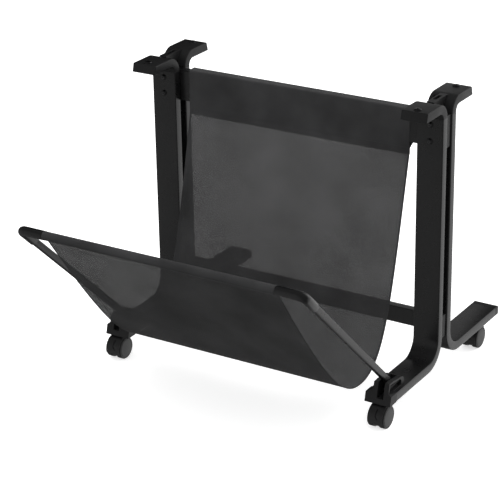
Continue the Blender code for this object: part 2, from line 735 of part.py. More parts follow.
def rear_panel_path():
    """From the hem behind the upper beam, round the beam, and down the back of the basket to its low point."""
    low, high = UPPER_BEAM
    path = [(-BAND_FACE + LAYER_STEP, HEM_Z + 0.001), (-BAND_FACE + LAYER_STEP, BAND_SEAM_Z)]
    path += [(BAND_FACE, low - 0.0015), (BAND_FACE, BAND_TOP - 0.002), (BAND_FACE - 0.002, BAND_TOP)]
    path += [(-BAND_FACE + 0.002, BAND_TOP), (-BAND_FACE, BAND_TOP - 0.002), (-BAND_FACE, BAND_SEAM_Z)]
    path += bezier(REAR_DROP, 18)
    path[-1] = (path[-1][0] + SPLIT_GAP / 2, path[-1][1])
    return path


def front_panel_path():
    """From the basket's low point up to the seam under the front tube, and round the tube."""
    tube = Vector((TUBE_Y, TUBE_Z))
    toward = Vector((FRONT_RISE[2][0] - TUBE_Y, FRONT_RISE[2][1] - TUBE_Z)).normalized()
    seam = tube + toward * SLEEVE_SEAM
    path = bezier(FRONT_RISE[:3] + (tuple(seam),), 16)
    path[0] = (path[0][0] - SPLIT_GAP / 2, path[0][1])
    start = math.atan2(toward.y, toward.x)
    touch = math.acos(SLEEVE_RADIUS / SLEEVE_SEAM)
    path += arc(tube, SLEEVE_RADIUS, start - touch, start + touch - 2 * math.pi, 12)
    beside = Vector((-toward.y, toward.x)) * LAYER_STEP
    path.append(tuple(seam + beside - toward * 0.001))
    return path


def make_fabric():
    outline = strip_outline(rear_panel_path(), FABRIC_THICK)
    bm = prism(outline, -FABRIC_HALF, FABRIC_HALF)
    add_object("basket_rear_panel", bm, STAND, (0, -BAND_FACE, BAND_TOP), MESH_CLOTH)
    outline = strip_outline(front_panel_path(), FABRIC_THICK)
    bm = prism(outline, -FABRIC_HALF, FABRIC_HALF)
    add_object("basket_front_panel", bm, BAIL, (0, PIVOT_Y, PIVOT_Z), MESH_CLOTH)


# ---------------------------------------------------------------- casters


def make_hood_pattern(parent):
    """The caster's hood about its stem axis: a cover over both wheels, and the web between them."""
    axle = (-TRAIL, WHEEL_RADIUS)
    front = math.pi - HOOD_FRONT
    back = math.pi - HOOD_BACK
    cover = arc(axle, HOOD_OUTER, front, back, 14)
    cover += arc(axle, HOOD_INNER, back, front, 14)
    hood = add_object("hood_pattern", prism(cover, -HOOD_HALF, HOOD_HALF), parent, (0, 0, 0))
    web = arc(axle, HOOD_OUTER - 0.0006, front, back, 14)
    web += arc(axle, WEB_LOW_RADIUS, back, front - 2 * math.pi, 12)
    boolean(hood, "UNION", prism(web, -WEB_HALF, WEB_HALF))
    housing = rod("Z", (0, 0, 0), HOUSING_BOTTOM, FLANGE_BOTTOM - GAP, SWIVEL_HOUSING, 16)
    boolean(hood, "UNION", housing)
    bore = rod("X", (0, *axle), -0.02, 0.02, AXLE_RADIUS + HOLE_PLAY)
    socket = rod("Z", (0, 0, 0), STEM_BOTTOM - 0.001, 0.07, STEM_RADIUS + HOLE_PLAY)
    boolean(hood, "DIFFERENCE", bore, socket)
    freeze(hood)
    round_shade(hood)
    return hood


def wheel_profile(side):
    """A wheel's section from its closed outer face round the tyre to the end of its blind bore."""
    face = WHEEL_OUTER
    rim = WHEEL_RADIUS
    points = [(face, 0), (face - 0.0003, rim * 0.6), (face - 0.0010, rim - 0.0020), (face - 0.0030, rim)]
    points += [(WHEEL_INNER + 0.0015, rim), (WHEEL_INNER, rim - 0.0015)]
    points += [(WHEEL_INNER, AXLE_RADIUS + HOLE_PLAY), (AXLE_HALF + GAP, AXLE_RADIUS + HOLE_PLAY)]
    points += [(AXLE_HALF + GAP, 0)]
    return [(side * along, radius) for along, radius in points]


def stem_profile():
    flange_top = FOOT_BOTTOM - GAP
    points = [(STEM_TOP, 0), (STEM_TOP, STEM_RADIUS), (flange_top, STEM_RADIUS), (flange_top, STEM_FLANGE)]
    points += [(FLANGE_BOTTOM, STEM_FLANGE), (FLANGE_BOTTOM, STEM_RADIUS)]
    points += [(STEM_BOTTOM, STEM_RADIUS), (STEM_BOTTOM, 0)]
    return points


def make_casters():
    pattern = make_hood_pattern(STAND)
    for end, y in (("front", CASTER_FRONT_Y), ("rear", CASTER_REAR_Y)):
        for side_name, side in SIDES:
            name = f"{end}_{side_name}_caster"
            x = side * CASTER_X
            pivot = (x, y, 0)
            axle = (x, y - TRAIL, WHEEL_RADIUS)
            swivel = add_empty(f"{name}_swivel", pivot, STAND)
            stem = add_object(f"{name}_stem", turned(stem_profile(), "Z", pivot, 12), swivel, pivot, DARK_STEEL)
            round_shade(stem)
            place_mesh(f"{name}_hood", pattern.data.copy(), swivel, pivot, BLACK_PLASTIC)
            rod_mesh = rod("X", axle, -AXLE_HALF, AXLE_HALF, AXLE_RADIUS)
            round_shade(add_object(f"{name}_axle", rod_mesh, swivel, axle, DARK_STEEL))
            for wheel_name, wheel_side in SIDES:
                wheel = turned(wheel_profile(wheel_side), "X", axle, 20)
                round_shade(add_object(f"{name}_{wheel_name}_wheel", wheel, swivel, axle, TREAD))
    bpy.data.objects.remove(pattern, do_unlink=True)


# ---------------------------------------------------------------- assembly

clear_scene()
FRONT_END = TUBE_Y - ELBOW_RADIUS
STAND = add_empty("stand", (0, -(FRONT_END + REAR_REACH) / 2, 0))
BAIL = add_empty("bail_hinge", (0, PIVOT_Y, PIVOT_Z), STAND)

make_legs()
make_beams()
make_fasteners()
for name_of_side, sign in SIDES:
    make_bracket(name_of_side, sign)
    make_arm(name_of_side, sign)
    make_elbow(name_of_side, sign)
make_front_tube()
make_fabric()
make_casters()
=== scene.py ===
"""Looks for the mobile printer stand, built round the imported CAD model.

Units are metres. Shapes are built in the stand's own measures, in which y = 0 is the middle plane between the
front and the rear legs, and add_piece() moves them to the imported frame. The order is: measures read from the
frame, mesh helpers, finishes, the stand's parts, the basket, the casters, and the studio.
"""

import math

import bmesh
import bpy
from mathutils import Matrix, Vector


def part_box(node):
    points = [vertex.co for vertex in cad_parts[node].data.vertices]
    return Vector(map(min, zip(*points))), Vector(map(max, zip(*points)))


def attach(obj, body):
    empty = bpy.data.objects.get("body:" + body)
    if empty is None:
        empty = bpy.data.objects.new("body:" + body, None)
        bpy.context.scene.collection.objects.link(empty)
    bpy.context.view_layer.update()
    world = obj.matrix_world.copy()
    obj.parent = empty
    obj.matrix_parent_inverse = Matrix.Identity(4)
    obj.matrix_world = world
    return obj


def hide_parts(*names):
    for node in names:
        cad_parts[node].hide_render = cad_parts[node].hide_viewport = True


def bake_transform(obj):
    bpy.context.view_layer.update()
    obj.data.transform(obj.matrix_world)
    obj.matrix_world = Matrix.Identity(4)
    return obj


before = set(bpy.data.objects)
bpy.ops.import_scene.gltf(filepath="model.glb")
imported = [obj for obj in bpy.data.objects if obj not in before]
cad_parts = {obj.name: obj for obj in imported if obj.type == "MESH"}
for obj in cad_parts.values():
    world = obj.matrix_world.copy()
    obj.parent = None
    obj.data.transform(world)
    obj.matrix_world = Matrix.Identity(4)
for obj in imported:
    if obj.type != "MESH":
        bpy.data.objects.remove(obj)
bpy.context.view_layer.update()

SIDES = (("left", -1), ("right", 1))
ENDS = (("front", -1), ("rear", 1))
STAND = "stand"
BAIL = "bail"

# ---------------- measures from the frame

beam_low, beam_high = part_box("upper_beam")
MIDDLE = Vector((0, (beam_low.y + beam_high.y) / 2, 0))


def box(node):
    """A node's lowest and highest corner in the stand's own measures."""
    low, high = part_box(node)
    return low - MIDDLE, high - MIDDLE


def centre(node):
    low, high = box(node)
    return (low + high) / 2


LEG_LOW, LEG_HIGH = box("rear_right_leg")
PLUG_LOW, PLUG_HIGH = box("rear_right_foot_plug")
PAD_HIGH = box("rear_right_pad")[1]
BEAM_LOW, BEAM_HIGH = box("upper_beam")
RAIL_LOW, RAIL_HIGH = box("lower_beam")
TUBE_LOW, TUBE_HIGH = box("front_tube")
PIN = centre("right_pivot_pin")

GAP = 0.0003
LEG_WIDTH = LEG_HIGH.x - LEG_LOW.x
LEG_X = (LEG_LOW.x + LEG_HIGH.x) / 2
LEG_THICK = PLUG_HIGH.z - PLUG_LOW.z
LEG_NEAR = LEG_LOW.y
LEG_WALL = 0.0015
LEG_CORNER = 0.0025
FOOT_BEND = 0.062
FOOT_BOTTOM = LEG_LOW.z
PAD_TOP = PAD_HIGH.z
PAD_DRAFT = 0.005
PAD_DRAFT_SHARE = 17 / 18  # of the draft, at the height where the pad reaches furthest
PAD_REACH = PAD_HIGH.y - PAD_DRAFT * PAD_DRAFT_SHARE
PAD_BEND = 0.034
PAD_ROOT = PAD_TOP - PAD_BEND
PAD_SPIGOT = 0.010
PAD_EDGE = 0.0022
BEAM_THICK = BEAM_HIGH.y - BEAM_LOW.y
BEAM_HALF = BEAM_HIGH.x
BEAM_CORNER = 0.002
BEAM_WALL = 0.0015
TUBE = (TUBE_LOW + TUBE_HIGH) / 2
TUBE_RADIUS = (TUBE_HIGH.z - TUBE_LOW.z) / 2
ARM_X = centre("right_arm").x
ARM_WIDTH = 0.011
ARM_DEPTH = 0.016
ARM_CORNER = 0.0042


# ---------------- mesh helpers


def arc(middle, radius, start, end, steps):
    """Points on an arc in a plane, with angles in radians."""
    points = []
    for index in range(steps + 1):
        angle = start + (end - start) * index / steps
        points.append((middle[0] + radius * math.cos(angle), middle[1] + radius * math.sin(angle)))
    return points


def circle(radius, segments):
    return arc((0, 0), radius, 0, 2 * math.pi * (segments - 1) / segments, segments - 1)


def rounded_rect(width, height, corner, steps=5):
    points = []
    for index, (sx, sy) in enumerate(((1, 1), (-1, 1), (-1, -1), (1, -1))):
        middle = (sx * (width / 2 - corner), sy * (height / 2 - corner))
        start = index * math.pi / 2
        points += arc(middle, corner, start, start + math.pi / 2, steps)
    return points


def rectangle(low, high):
    return [low, (high[0], low[1]), high, (low[0], high[1])]


def bezier(points, steps):
    """Points on a cubic curve in a plane, from its four control points."""
    curve = []
    for index in range(steps + 1):
        t = index / steps
        weights = ((1 - t) ** 3, 3 * t * (1 - t) ** 2, 3 * t * t * (1 - t), t**3)
        curve.append(tuple(sum(w * p[k] for w, p in zip(weights, points)) for k in (0, 1)))
    return curve


def strip(bm, near, far):
    """Faces between two rows of equal vertex count."""
    for corners in zip(near, near[1:], far[1:], far):
        bm.faces.new(corners)


def bridge(bm, near, far):
    """Faces between two rings of equal vertex count."""
    strip(bm, near + near[:1], far + far[:1])


def loft(rings):
    """A closed solid through rings of equal point count, capped at both ends."""
    bm = bmesh.new()
    rows = [[bm.verts.new(point) for point in ring] for ring in rings]
    for near, far in zip(rows, rows[1:]):
        bridge(bm, near, far)
    bm.faces.new(rows[0])
    bm.faces.new(reversed(rows[-1]))
    return bm


def tube_loft(outer, inner):
    """An open-ended tube from two lists of rings."""
    bm = bmesh.new()
    rows = [[bm.verts.new(point) for point in ring] for ring in outer + inner[::-1]]
    for near, far in zip(rows, rows[1:] + rows[:1]):
        bridge(bm, near, far)
    return bm


def turned(profile, axis, middle, segments=48):
    """A solid of revolution. The profile runs from pole to pole as (distance along the axis, radius)."""
    bm = bmesh.new()
    unit = {"X": Vector((1, 0, 0)), "Y": Vector((0, 1, 0)), "Z": Vector((0, 0, 1))}
    first, second = [unit[letter] for letter in {"X": "YZ", "Y": "ZX", "Z": "XY"}[axis]]
    rows = []
    for along, radius in profile:
        place = Vector(middle) + unit[axis] * along
        offsets = circle(radius, segments) if radius else [(0, 0)]
        rows.append([bm.verts.new(place + first * a + second * b) for a, b in offsets])
    for near, far in zip(rows, rows[1:]):
        for index in range(segments):
            after = (index + 1) % segments
            corners = [near[0]] if len(near) == 1 else [near[index], near[after]]
            corners += [far[0]] if len(far) == 1 else [far[after], far[index]]
            bm.faces.new(corners)
    return bm


def prism(outline, start, end, axis="X"):
    """A flat outline pushed along an axis: (Y, Z) along X, (X, Z) along Y, or (X, Y) along Z."""
    slot = "XYZ".index(axis)
    return loft([[(*point[:slot], at, *point[slot:]) for point in outline] for at in (start, end)])


def merged(shapes):
    """One bmesh of several."""
    whole = bmesh.new()
    for bm in shapes:
        mesh = bpy.data.meshes.new("shape")
        bm.to_mesh(mesh)
        bm.free()
        whole.from_mesh(mesh)
        bpy.data.meshes.remove(mesh)
    return whole


def mesh_object(name, bm):
    bmesh.ops.recalc_face_normals(bm, faces=bm.faces)
    mesh = bpy.data.meshes.new(name)
    bm.to_mesh(mesh)
    bm.free()
    obj = bpy.data.objects.new(name, mesh)
    bpy.context.scene.collection.objects.link(obj)
    return obj


def modify(obj, kind, **settings):
    """Applies a modifier to the object's mesh."""
    modifier = obj.modifiers.new(kind, kind)
    for setting, value in settings.items():
        setattr(modifier, setting, value)
    bpy.context.view_layer.update()
    graph = bpy.context.evaluated_depsgraph_get()
    mesh = bpy.data.meshes.new_from_object(obj.evaluated_get(graph))
    mesh.name = obj.name
    obj.modifiers.clear()
    old = obj.data
    obj.data = mesh
    bpy.data.meshes.remove(old)


def combine(bm, operation, *shapes):
    """The bmesh with the shapes joined to it or cut from it."""
    obj = mesh_object("work", bm)
    tool = mesh_object("tool", merged(shapes))
    modify(obj, "BOOLEAN", operation=operation, solver="EXACT", object=tool)
    result = bmesh.new()
    result.from_mesh(obj.data)
    for spent in (obj, tool):
        mesh = spent.data
        bpy.data.objects.remove(spent)
        bpy.data.meshes.remove(mesh)
    return result


def add_piece(name, bm, body, look, nodes=(), edge=0, angle=40):
    """A finished piece from a bmesh in the stand's own measures.

    It stands for the nodes, and rides on the body. With no body, it is left unattached. An edge rounds
    its sharp edges, and lets the faces beside them keep flat normals.
    """
    bmesh.ops.translate(bm, vec=MIDDLE, verts=bm.verts)
    obj = mesh_object(name, bm)
    if edge:
        limit = math.radians(30)
        modify(obj, "BEVEL", width=edge, segments=3, limit_method="ANGLE", angle_limit=limit,
               use_clamp_overlap=True, miter_outer="MITER_ARC")
    obj.data.shade_smooth()
    obj.data.set_sharp_from_angle(angle=math.radians(angle))
    if edge:
        modify(obj, "WEIGHTED_NORMAL", keep_sharp=True)
    obj.data.materials.clear()
    obj.data.materials.append(look["material"])
    if nodes:
        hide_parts(*nodes)
    if body:
        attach(obj, body)
    return obj


# ---------------- finishes


def start_material(name, colour, roughness, specular=0.5, metallic=0.0):
    material = bpy.data.materials.new(name)
    material.use_nodes = True
    shader = material.node_tree.nodes["Principled BSDF"]
    shader.inputs["Base Color"].default_value = (*colour, 1)
    shader.inputs["Roughness"].default_value = roughness
    shader.inputs["Specular IOR Level"].default_value = specular
    shader.inputs["Metallic"].default_value = metallic
    return material, material.node_tree, shader


def add_node(tree, kind, inputs=()):
    """A shader node, with a number or a link for each of its named or numbered inputs."""
    node = tree.nodes.new(f"ShaderNode{kind}")
    for key, value in dict(inputs).items():
        if isinstance(value, bpy.types.NodeSocket):
            tree.links.new(value, node.inputs[key])
        else:
            node.inputs[key].default_value = value
    return node


def noise(tree, scale, detail=2.0):
    place = add_node(tree, "TexCoord").outputs["Object"]
    return add_node(tree, "TexNoise", {"Scale": scale, "Detail": detail, "Vector": place}).outputs["Fac"]


def span(tree, value, low, high, source=(0.3, 0.7)):
    """A value stretched from the source range to low..high."""
    ends = {"From Min": source[0], "From Max": source[1], "To Min": low, "To Max": high}
    return add_node(tree, "MapRange", {"Value": value, **ends}).outputs["Result"]


def math_node(tree, operation, *terms):
    node = add_node(tree, "Math", enumerate(terms))
    node.operation = operation
    return node.outputs[0]


def tint(tree, shader, value, dark, light):
    """The base colour runs from dark to light with a value from 0 to 1."""
    ramp = add_node(tree, "ValToRGB", {"Fac": value})
    for element, colour in zip(ramp.color_ramp.elements, (dark, light)):
        element.color = (*colour, 1)
    tree.links.new(ramp.outputs["Color"], shader.inputs["Base Color"])


def bump(tree, shader, height, strength, distance):
    node = add_node(tree, "Bump", {"Strength": strength, "Distance": distance, "Height": height})
    tree.links.new(node.outputs["Normal"], shader.inputs["Normal"])


def grey(value):
    """A grey that is a little cool."""
    return (value, value, value * 1.03)


COLOUR_PATCHES = 14
GLOSS_PATCHES = 45


def coated(name, base, roughness, grain, spread, depth, specular=0.5, metallic=0.0):
    """A finish whose colour and roughness wander a little, with a fine raised grain.

    The base colour wanders by the spread, as a share of it. The grain is the noise's scale, and the depth its
    height in metres.
    """
    material, tree, shader = start_material(name, grey(base), sum(roughness) / 2, specular, metallic)
    wander = span(tree, noise(tree, COLOUR_PATCHES, 4), 0, 1)
    tint(tree, shader, wander, grey(base * (1 - spread)), grey(base * (1 + spread)))
    tree.links.new(span(tree, noise(tree, GLOSS_PATCHES, 3), *roughness), shader.inputs["Roughness"])
    height = math_node(tree, "MULTIPLY_ADD", noise(tree, grain / 4, 2), 0.5, noise(tree, grain, 2))
    bump(tree, shader, height, 1.0, depth)
    return material


def wave(tree, value, pitch):
    """The sine of a length, one turn for each pitch."""
    return math_node(tree, "SINE", math_node(tree, "MULTIPLY", value, 2 * math.pi / pitch))


def woven(name, base, roughness, pitch, openings, least, side_limit, run_limits):
    """A net of fine threads, whose weave follows the sheet's own lengths.

    Its openings lie inside the side hems and between the two sleeves. The cover falls to its least as the
    weave's wave goes through the given range. The sheet's far face is left out, so the net is seen once.
    """
    material, tree, shader = start_material(name, grey(base), roughness, 0.25)
    shader.inputs["Sheen Weight"].default_value = 0.04
    shader.inputs["Sheen Roughness"].default_value = 0.45
    lengths = add_node(tree, "UVMap")
    lengths.uv_map = "weave"
    across, along, _ = add_node(tree, "SeparateXYZ", {"Vector": lengths.outputs["UV"]}).outputs
    both = math_node(tree, "MULTIPLY", wave(tree, across, pitch), wave(tree, along, pitch))
    hole = span(tree, both, 0, 1, openings)
    inside = math_node(tree, "LESS_THAN", math_node(tree, "ABSOLUTE", across), side_limit)
    after = math_node(tree, "GREATER_THAN", along, run_limits[0])
    before = math_node(tree, "LESS_THAN", along, run_limits[1])
    for part in (inside, after, before):
        hole = math_node(tree, "MULTIPLY", hole, part)
    height = math_node(tree, "SUBTRACT", 1, math_node(tree, "ABSOLUTE", both))
    bump(tree, shader, height, 0.6, 0.0003)
    patch = math_node(tree, "MULTIPLY", span(tree, noise(tree, 9, 3), 0, 1), 0.5)
    # The base colour follows the bump's height: painted shade darkens the weave's dips and a painted highlight
    # lightens its crowns, mixed with random patches of tone.
    weave_shade_and_patches = math_node(tree, "MULTIPLY_ADD", height, 0.5, patch)
    tint(tree, shader, weave_shade_and_patches, grey(base * 0.30), grey(base * 1.45))
    front = math_node(tree, "SUBTRACT", 1, add_node(tree, "NewGeometry").outputs["Backfacing"])
    closed = math_node(tree, "SUBTRACT", 1, math_node(tree, "MULTIPLY", hole, 1 - least))
    tree.links.new(math_node(tree, "MULTIPLY", closed, front), shader.inputs["Alpha"])
    return material


def thread_material(name, base):
    material, tree, shader = start_material(name, grey(base), 0.6, 0.35)
    tint(tree, shader, span(tree, noise(tree, 900, 2), 0, 1), grey(base * 0.7), grey(base * 1.3))
    bump(tree, shader, noise(tree, 2500, 1), 0.5, 0.0001)
    return material


def finish(slot, name, base, roughness, **look):
    return {"material": coated(name, base, roughness, **look), "slot": slot}


PAINT = finish("painted_tube", "satin_powder_coat", 0.0085, (0.26, 0.31),
               grain=1100, spread=0.12, depth=0.00003)
PLASTIC = finish("moulded_plastic", "moulded_black", 0.013, (0.36, 0.44),
                 grain=1500, spread=0.10, depth=0.00005, specular=0.26)
HOOD = finish("moulded_plastic", "caster_nylon", 0.010, (0.30, 0.38),
              grain=1500, spread=0.10, depth=0.00003)
CORNER = finish("moulded_plastic", "corner_gloss", 0.008, (0.20, 0.26),
                grain=1200, spread=0.10, depth=0.00002)
STEEL = finish("fastener_steel", "black_oxide_steel", 0.10, (0.28, 0.36),
               grain=1800, spread=0.25, depth=0.00003, metallic=1.0)
TREAD = finish("wheel_tread", "nylon_tread", 0.008, (0.34, 0.44),
               grain=1200, spread=0.15, depth=0.00004)
THREAD = {"material": thread_material("sewing_thread", 0.035), "slot": "mesh_fabric"}


# ---------------- legs, pads and foot plugs

RECESS_SPAN = (-0.021, -0.0105)
RECESS_MOUTH = 0.001
RECESS_DEPTH = 0.019
RECESS_SLANT = 0.004
RECESS_LOW = 0.0125
RECESS_HIGH = 0.003


def quarter_bend(reach, z, radius, start, steps):
    """Stations round a quarter bend as (reach, z, outward turn), at the middle of the tube's thickness."""
    middle = radius - LEG_THICK / 2
    turns = [start + 0.5 * math.pi * index / steps for index in range(steps + 1)]
    return [(reach + middle * math.cos(turn), z + middle * math.sin(turn), turn) for turn in turns]


def flat_ring(x, facing, station, width, thick, corner):
    """The tube's section at a station. The reach is away from the stand's middle plane."""
    reach, z, turn = station
    ring = []
    for a, b in rounded_rect(width, thick, corner):
        ring.append((x + a, facing * (reach + b * math.cos(turn)), z + b * math.sin(turn)))
    return ring


def make_leg(end, facing, side_name, side):
    node = f"{end}_{side_name}_leg"
    low, high = box(node)
    foot_end = high.y if facing > 0 else -low.y
    x = side * LEG_X
    edge = 0.0004
    top = (LEG_NEAR + LEG_THICK / 2, PAD_ROOT - GAP, math.pi)
    below = (top[0], top[1] - edge, top[2])
    bend = quarter_bend(LEG_NEAR + FOOT_BEND, FOOT_BOTTOM + FOOT_BEND, FOOT_BEND, math.pi, 28)
    end_station = (foot_end, FOOT_BOTTOM + LEG_THICK / 2, 1.5 * math.pi)
    before_end = (foot_end - edge, end_station[1], end_station[2])
    full = (LEG_WIDTH, LEG_THICK, LEG_CORNER)
    eased = (LEG_WIDTH - 2 * edge, LEG_THICK - 2 * edge, LEG_CORNER - edge)
    hollow = (LEG_WIDTH - 2 * LEG_WALL, LEG_THICK - 2 * LEG_WALL, LEG_CORNER - LEG_WALL)
    stations = (top, below, *bend, before_end, end_station)
    outer = [flat_ring(x, facing, top, *eased)]
    outer += [flat_ring(x, facing, station, *full) for station in stations[1:-1]]
    outer.append(flat_ring(x, facing, end_station, *eased))
    inner = [flat_ring(x, facing, station, *hollow) for station in stations]
    add_piece(f"leg_{end}_{side_name}", tube_loft(outer, inner), STAND, PAINT, [node])


def pad_recess(x):
    """The cutter for the small recess in a rear pad's inner face."""
    near, far = LEG_NEAR - RECESS_MOUTH, LEG_NEAR + RECESS_DEPTH
    low, high = PAD_TOP - RECESS_LOW, PAD_TOP - RECESS_HIGH
    outline = [(near, low), (far - RECESS_SLANT, low), (far, high), (near, high)]
    return prism(outline, x + RECESS_SPAN[0], x + RECESS_SPAN[1])


def make_pad(end, facing, side_name, side):
    """A spigot in the leg, a bend, and a flat pad whose rounded end leans out towards its foot."""
    node = f"{end}_{side_name}_pad"
    x = side * LEG_X
    play = 2 * (LEG_WALL + GAP)
    spigot = (LEG_WIDTH - play, LEG_THICK - play, 0.001)
    root = (LEG_NEAR + LEG_THICK / 2, PAD_ROOT, math.pi)
    tip = (root[0], PAD_ROOT - PAD_SPIGOT, math.pi)
    rings = [flat_ring(x, facing, station, *spigot) for station in (tip, root)]
    bend = quarter_bend(LEG_NEAR + PAD_BEND, PAD_ROOT, PAD_BEND, 0.5 * math.pi, 20)[::-1]
    rings += [flat_ring(x, facing, station, LEG_WIDTH, LEG_THICK, LEG_CORNER) for station in bend]
    for index in range(6):
        turn = math.radians(18) * index
        inset = PAD_EDGE * (1 - math.cos(turn))
        reach = PAD_REACH - PAD_EDGE * (1 - math.sin(turn))
        station = (reach, PAD_TOP - LEG_THICK / 2, 0.5 * math.pi)
        ring = flat_ring(x, facing, station, LEG_WIDTH - 2 * inset, LEG_THICK - 2 * inset, LEG_CORNER - inset)
        rings.append([(a, b + facing * PAD_DRAFT * (PAD_TOP - c) / LEG_THICK, c) for a, b, c in ring])
    bm = loft(rings)
    if end == "rear":
        bm = combine(bm, "DIFFERENCE", pad_recess(x))
    add_piece(f"pad_{end}_{side_name}", bm, STAND, PLASTIC, [node])


def make_foot_plug(side_name, side):
    node = f"rear_{side_name}_foot_plug"
    low, high = box(node)
    x = side * LEG_X
    z = (low.z + high.z) / 2
    reach = high.y
    seat = box(f"rear_{side_name}_leg")[1].y + GAP
    play = 2 * (LEG_WALL + GAP)
    rows = [(play, low.y), (play, seat), (0.0008, seat), (0, seat + 0.0004)]
    for index in range(5):
        turn = math.radians(22.5) * index
        rows.append((2 * PAD_EDGE * (1 - math.cos(turn)), reach - PAD_EDGE * (1 - math.sin(turn))))
    rings = []
    for inset, y in rows:
        corner = max(LEG_CORNER - inset / 2, 0.0006)
        section = rounded_rect(LEG_WIDTH - inset, LEG_THICK - inset, corner)
        rings.append([(x + a, y, z + b) for a, b in section])
    add_piece(f"foot_plug_{side_name}", loft(rings), STAND, PLASTIC, [node])


# ---------------- cross beams

PLUG_TONGUE = 0.008
LUG_NEAR = 0.303
BRIDGE_POCKET = (0.0085, 0.029)
BRIDGE_POCKET_PLACE = (-0.0014, 0.002)
BRIDGE_POCKET_DEPTH = 0.006


def beam_ring(x, low, high, thick, corner):
    middle = (low + high) / 2
    return [(x, a, middle + b) for a, b in rounded_rect(thick, high - low, corner)]


def make_beam(node, name, low, high):
    edge = 0.0003
    half = BEAM_HALF
    outer = []
    for x, inset in ((-half, edge), (-half + edge, 0), (half - edge, 0), (half, edge)):
        outer.append(beam_ring(x, low + inset, high - inset, BEAM_THICK - 2 * inset, BEAM_CORNER - inset))
    inner = []
    for x in (-half, -half + edge, half - edge, half):
        inner.append(beam_ring(x, low + BEAM_WALL, high - BEAM_WALL, BEAM_THICK - 2 * BEAM_WALL, 0.001))
    add_piece(name, tube_loft(outer, inner), STAND, PAINT, [node])


def make_beam_plug(node, name, side, low, high, face_low, lug_near=None):
    """A beam's end plug: tongue, plate with rounded edges, and for the lower beam a lug under the beam."""
    face = max(abs(box(node)[0].x), abs(box(node)[1].x))
    seat = BEAM_HALF + GAP
    play = BEAM_WALL + GAP
    edge = 0.001
    rings = []
    for x in (seat - PLUG_TONGUE, seat):
        rings.append(beam_ring(side * x, low + play, high - play, BEAM_THICK - 2 * play, 0.001))
    rings.append(beam_ring(side * seat, face_low, high, BEAM_THICK, BEAM_CORNER))
    for index in range(4):
        turn = math.radians(30) * index
        inset = edge * (1 - math.cos(turn))
        x = side * (face - edge * (1 - math.sin(turn)))
        thick, corner = BEAM_THICK - 2 * inset, BEAM_CORNER - inset
        rings.append(beam_ring(x, face_low + inset, high - inset, thick, corner))
    bm = loft(rings)
    if lug_near:
        near, far = sorted((side * lug_near, side * (BEAM_HALF + 0.002)))
        half = BEAM_THICK / 2
        outline = rectangle((-half, face_low + 0.0002), (half, low - GAP))
        bm = combine(bm, "UNION", prism(outline, near, far))
    add_piece(name, bm, STAND, PLASTIC, [node])


def make_top_bridge(side_name, side):
    """The bridge in the valley between a front and a rear pad, level with their tops, with a pocket in it."""
    node = f"{side_name}_top_web"
    low, high = box(node)
    reach = LEG_NEAR + PAD_BEND
    radius = PAD_BEND + GAP
    start = math.pi - math.asin((low.z - PAD_ROOT) / radius)
    stop = math.pi - math.acos((reach - high.y) / radius)
    flank = arc((reach, PAD_ROOT), radius, start, stop, 16)
    outline = flank + [(high.y, high.z), (low.y, high.z)] + [(-y, z) for y, z in reversed(flank)]
    bm = prism(outline, low.x, high.x)
    middle = (low.x + high.x) / 2 + BRIDGE_POCKET_PLACE[0]
    pocket = [(middle + a, BRIDGE_POCKET_PLACE[1] + b) for a, b in rounded_rect(*BRIDGE_POCKET, 0.002)]
    bm = combine(bm, "DIFFERENCE", prism(pocket, PAD_TOP - BRIDGE_POCKET_DEPTH, PAD_TOP + 0.005, "Z"))
    add_piece(f"web_{side_name}", bm, STAND, PLASTIC, [node], edge=0.0006)


# ---------------- fasteners

BOLT_HEIGHT = 0.0042
BOLT_SHANK = 0.003
BOLT_LENGTH = 0.02
BOLT_SOCKET = 0.0028
BOLT_SOCKET_FLOOR = 0.0020
SCREW_RIM = 0.0010
SCREW_SHANK = 0.002
SCREW_SOCKET = 0.004
SCREW_SOCKET_DEPTH = 0.0016
SOCKET_CLEAR = 0.002


def hexagon(x, y, across):
    """A hexagon round a place, by its size across the flats."""
    radius = across / math.sqrt(3)
    turns = [math.pi / 3 * index for index in range(6)]
    return [(x + radius * math.cos(turn), y + radius * math.sin(turn)) for turn in turns]


def make_bolt(node, name, facing):
    """A button-head bolt with a small hexagon socket. Its head lies on the leg's far face."""
    low, high = box(node)
    middle = (low + high) / 2
    crown = high.y if facing > 0 else -low.y
    height = BOLT_HEIGHT
    seat = crown - height
    radius = (high.x - low.x) / 2
    rows = [(height, 0), (height, 0.0026), (height - 0.0002, 0.0032), (height - 0.0011, 0.0045)]
    rows += [(0.0018, 0.0056), (0.0009, radius - 0.0002), (0.0004, radius), (0, radius - 0.0003)]
    rows += [(0, BOLT_SHANK), (-BOLT_LENGTH, BOLT_SHANK), (-BOLT_LENGTH, 0)]
    bm = turned([(facing * (seat + along), out) for along, out in rows], "Y", (middle.x, 0, middle.z))
    start, stop = sorted((facing * (seat + BOLT_SOCKET_FLOOR), facing * (crown + SOCKET_CLEAR)))
    socket = prism(hexagon(middle.x, middle.z, BOLT_SOCKET), start, stop, "Y")
    add_piece(name, combine(bm, "DIFFERENCE", socket), STAND, STEEL, [node], angle=30)


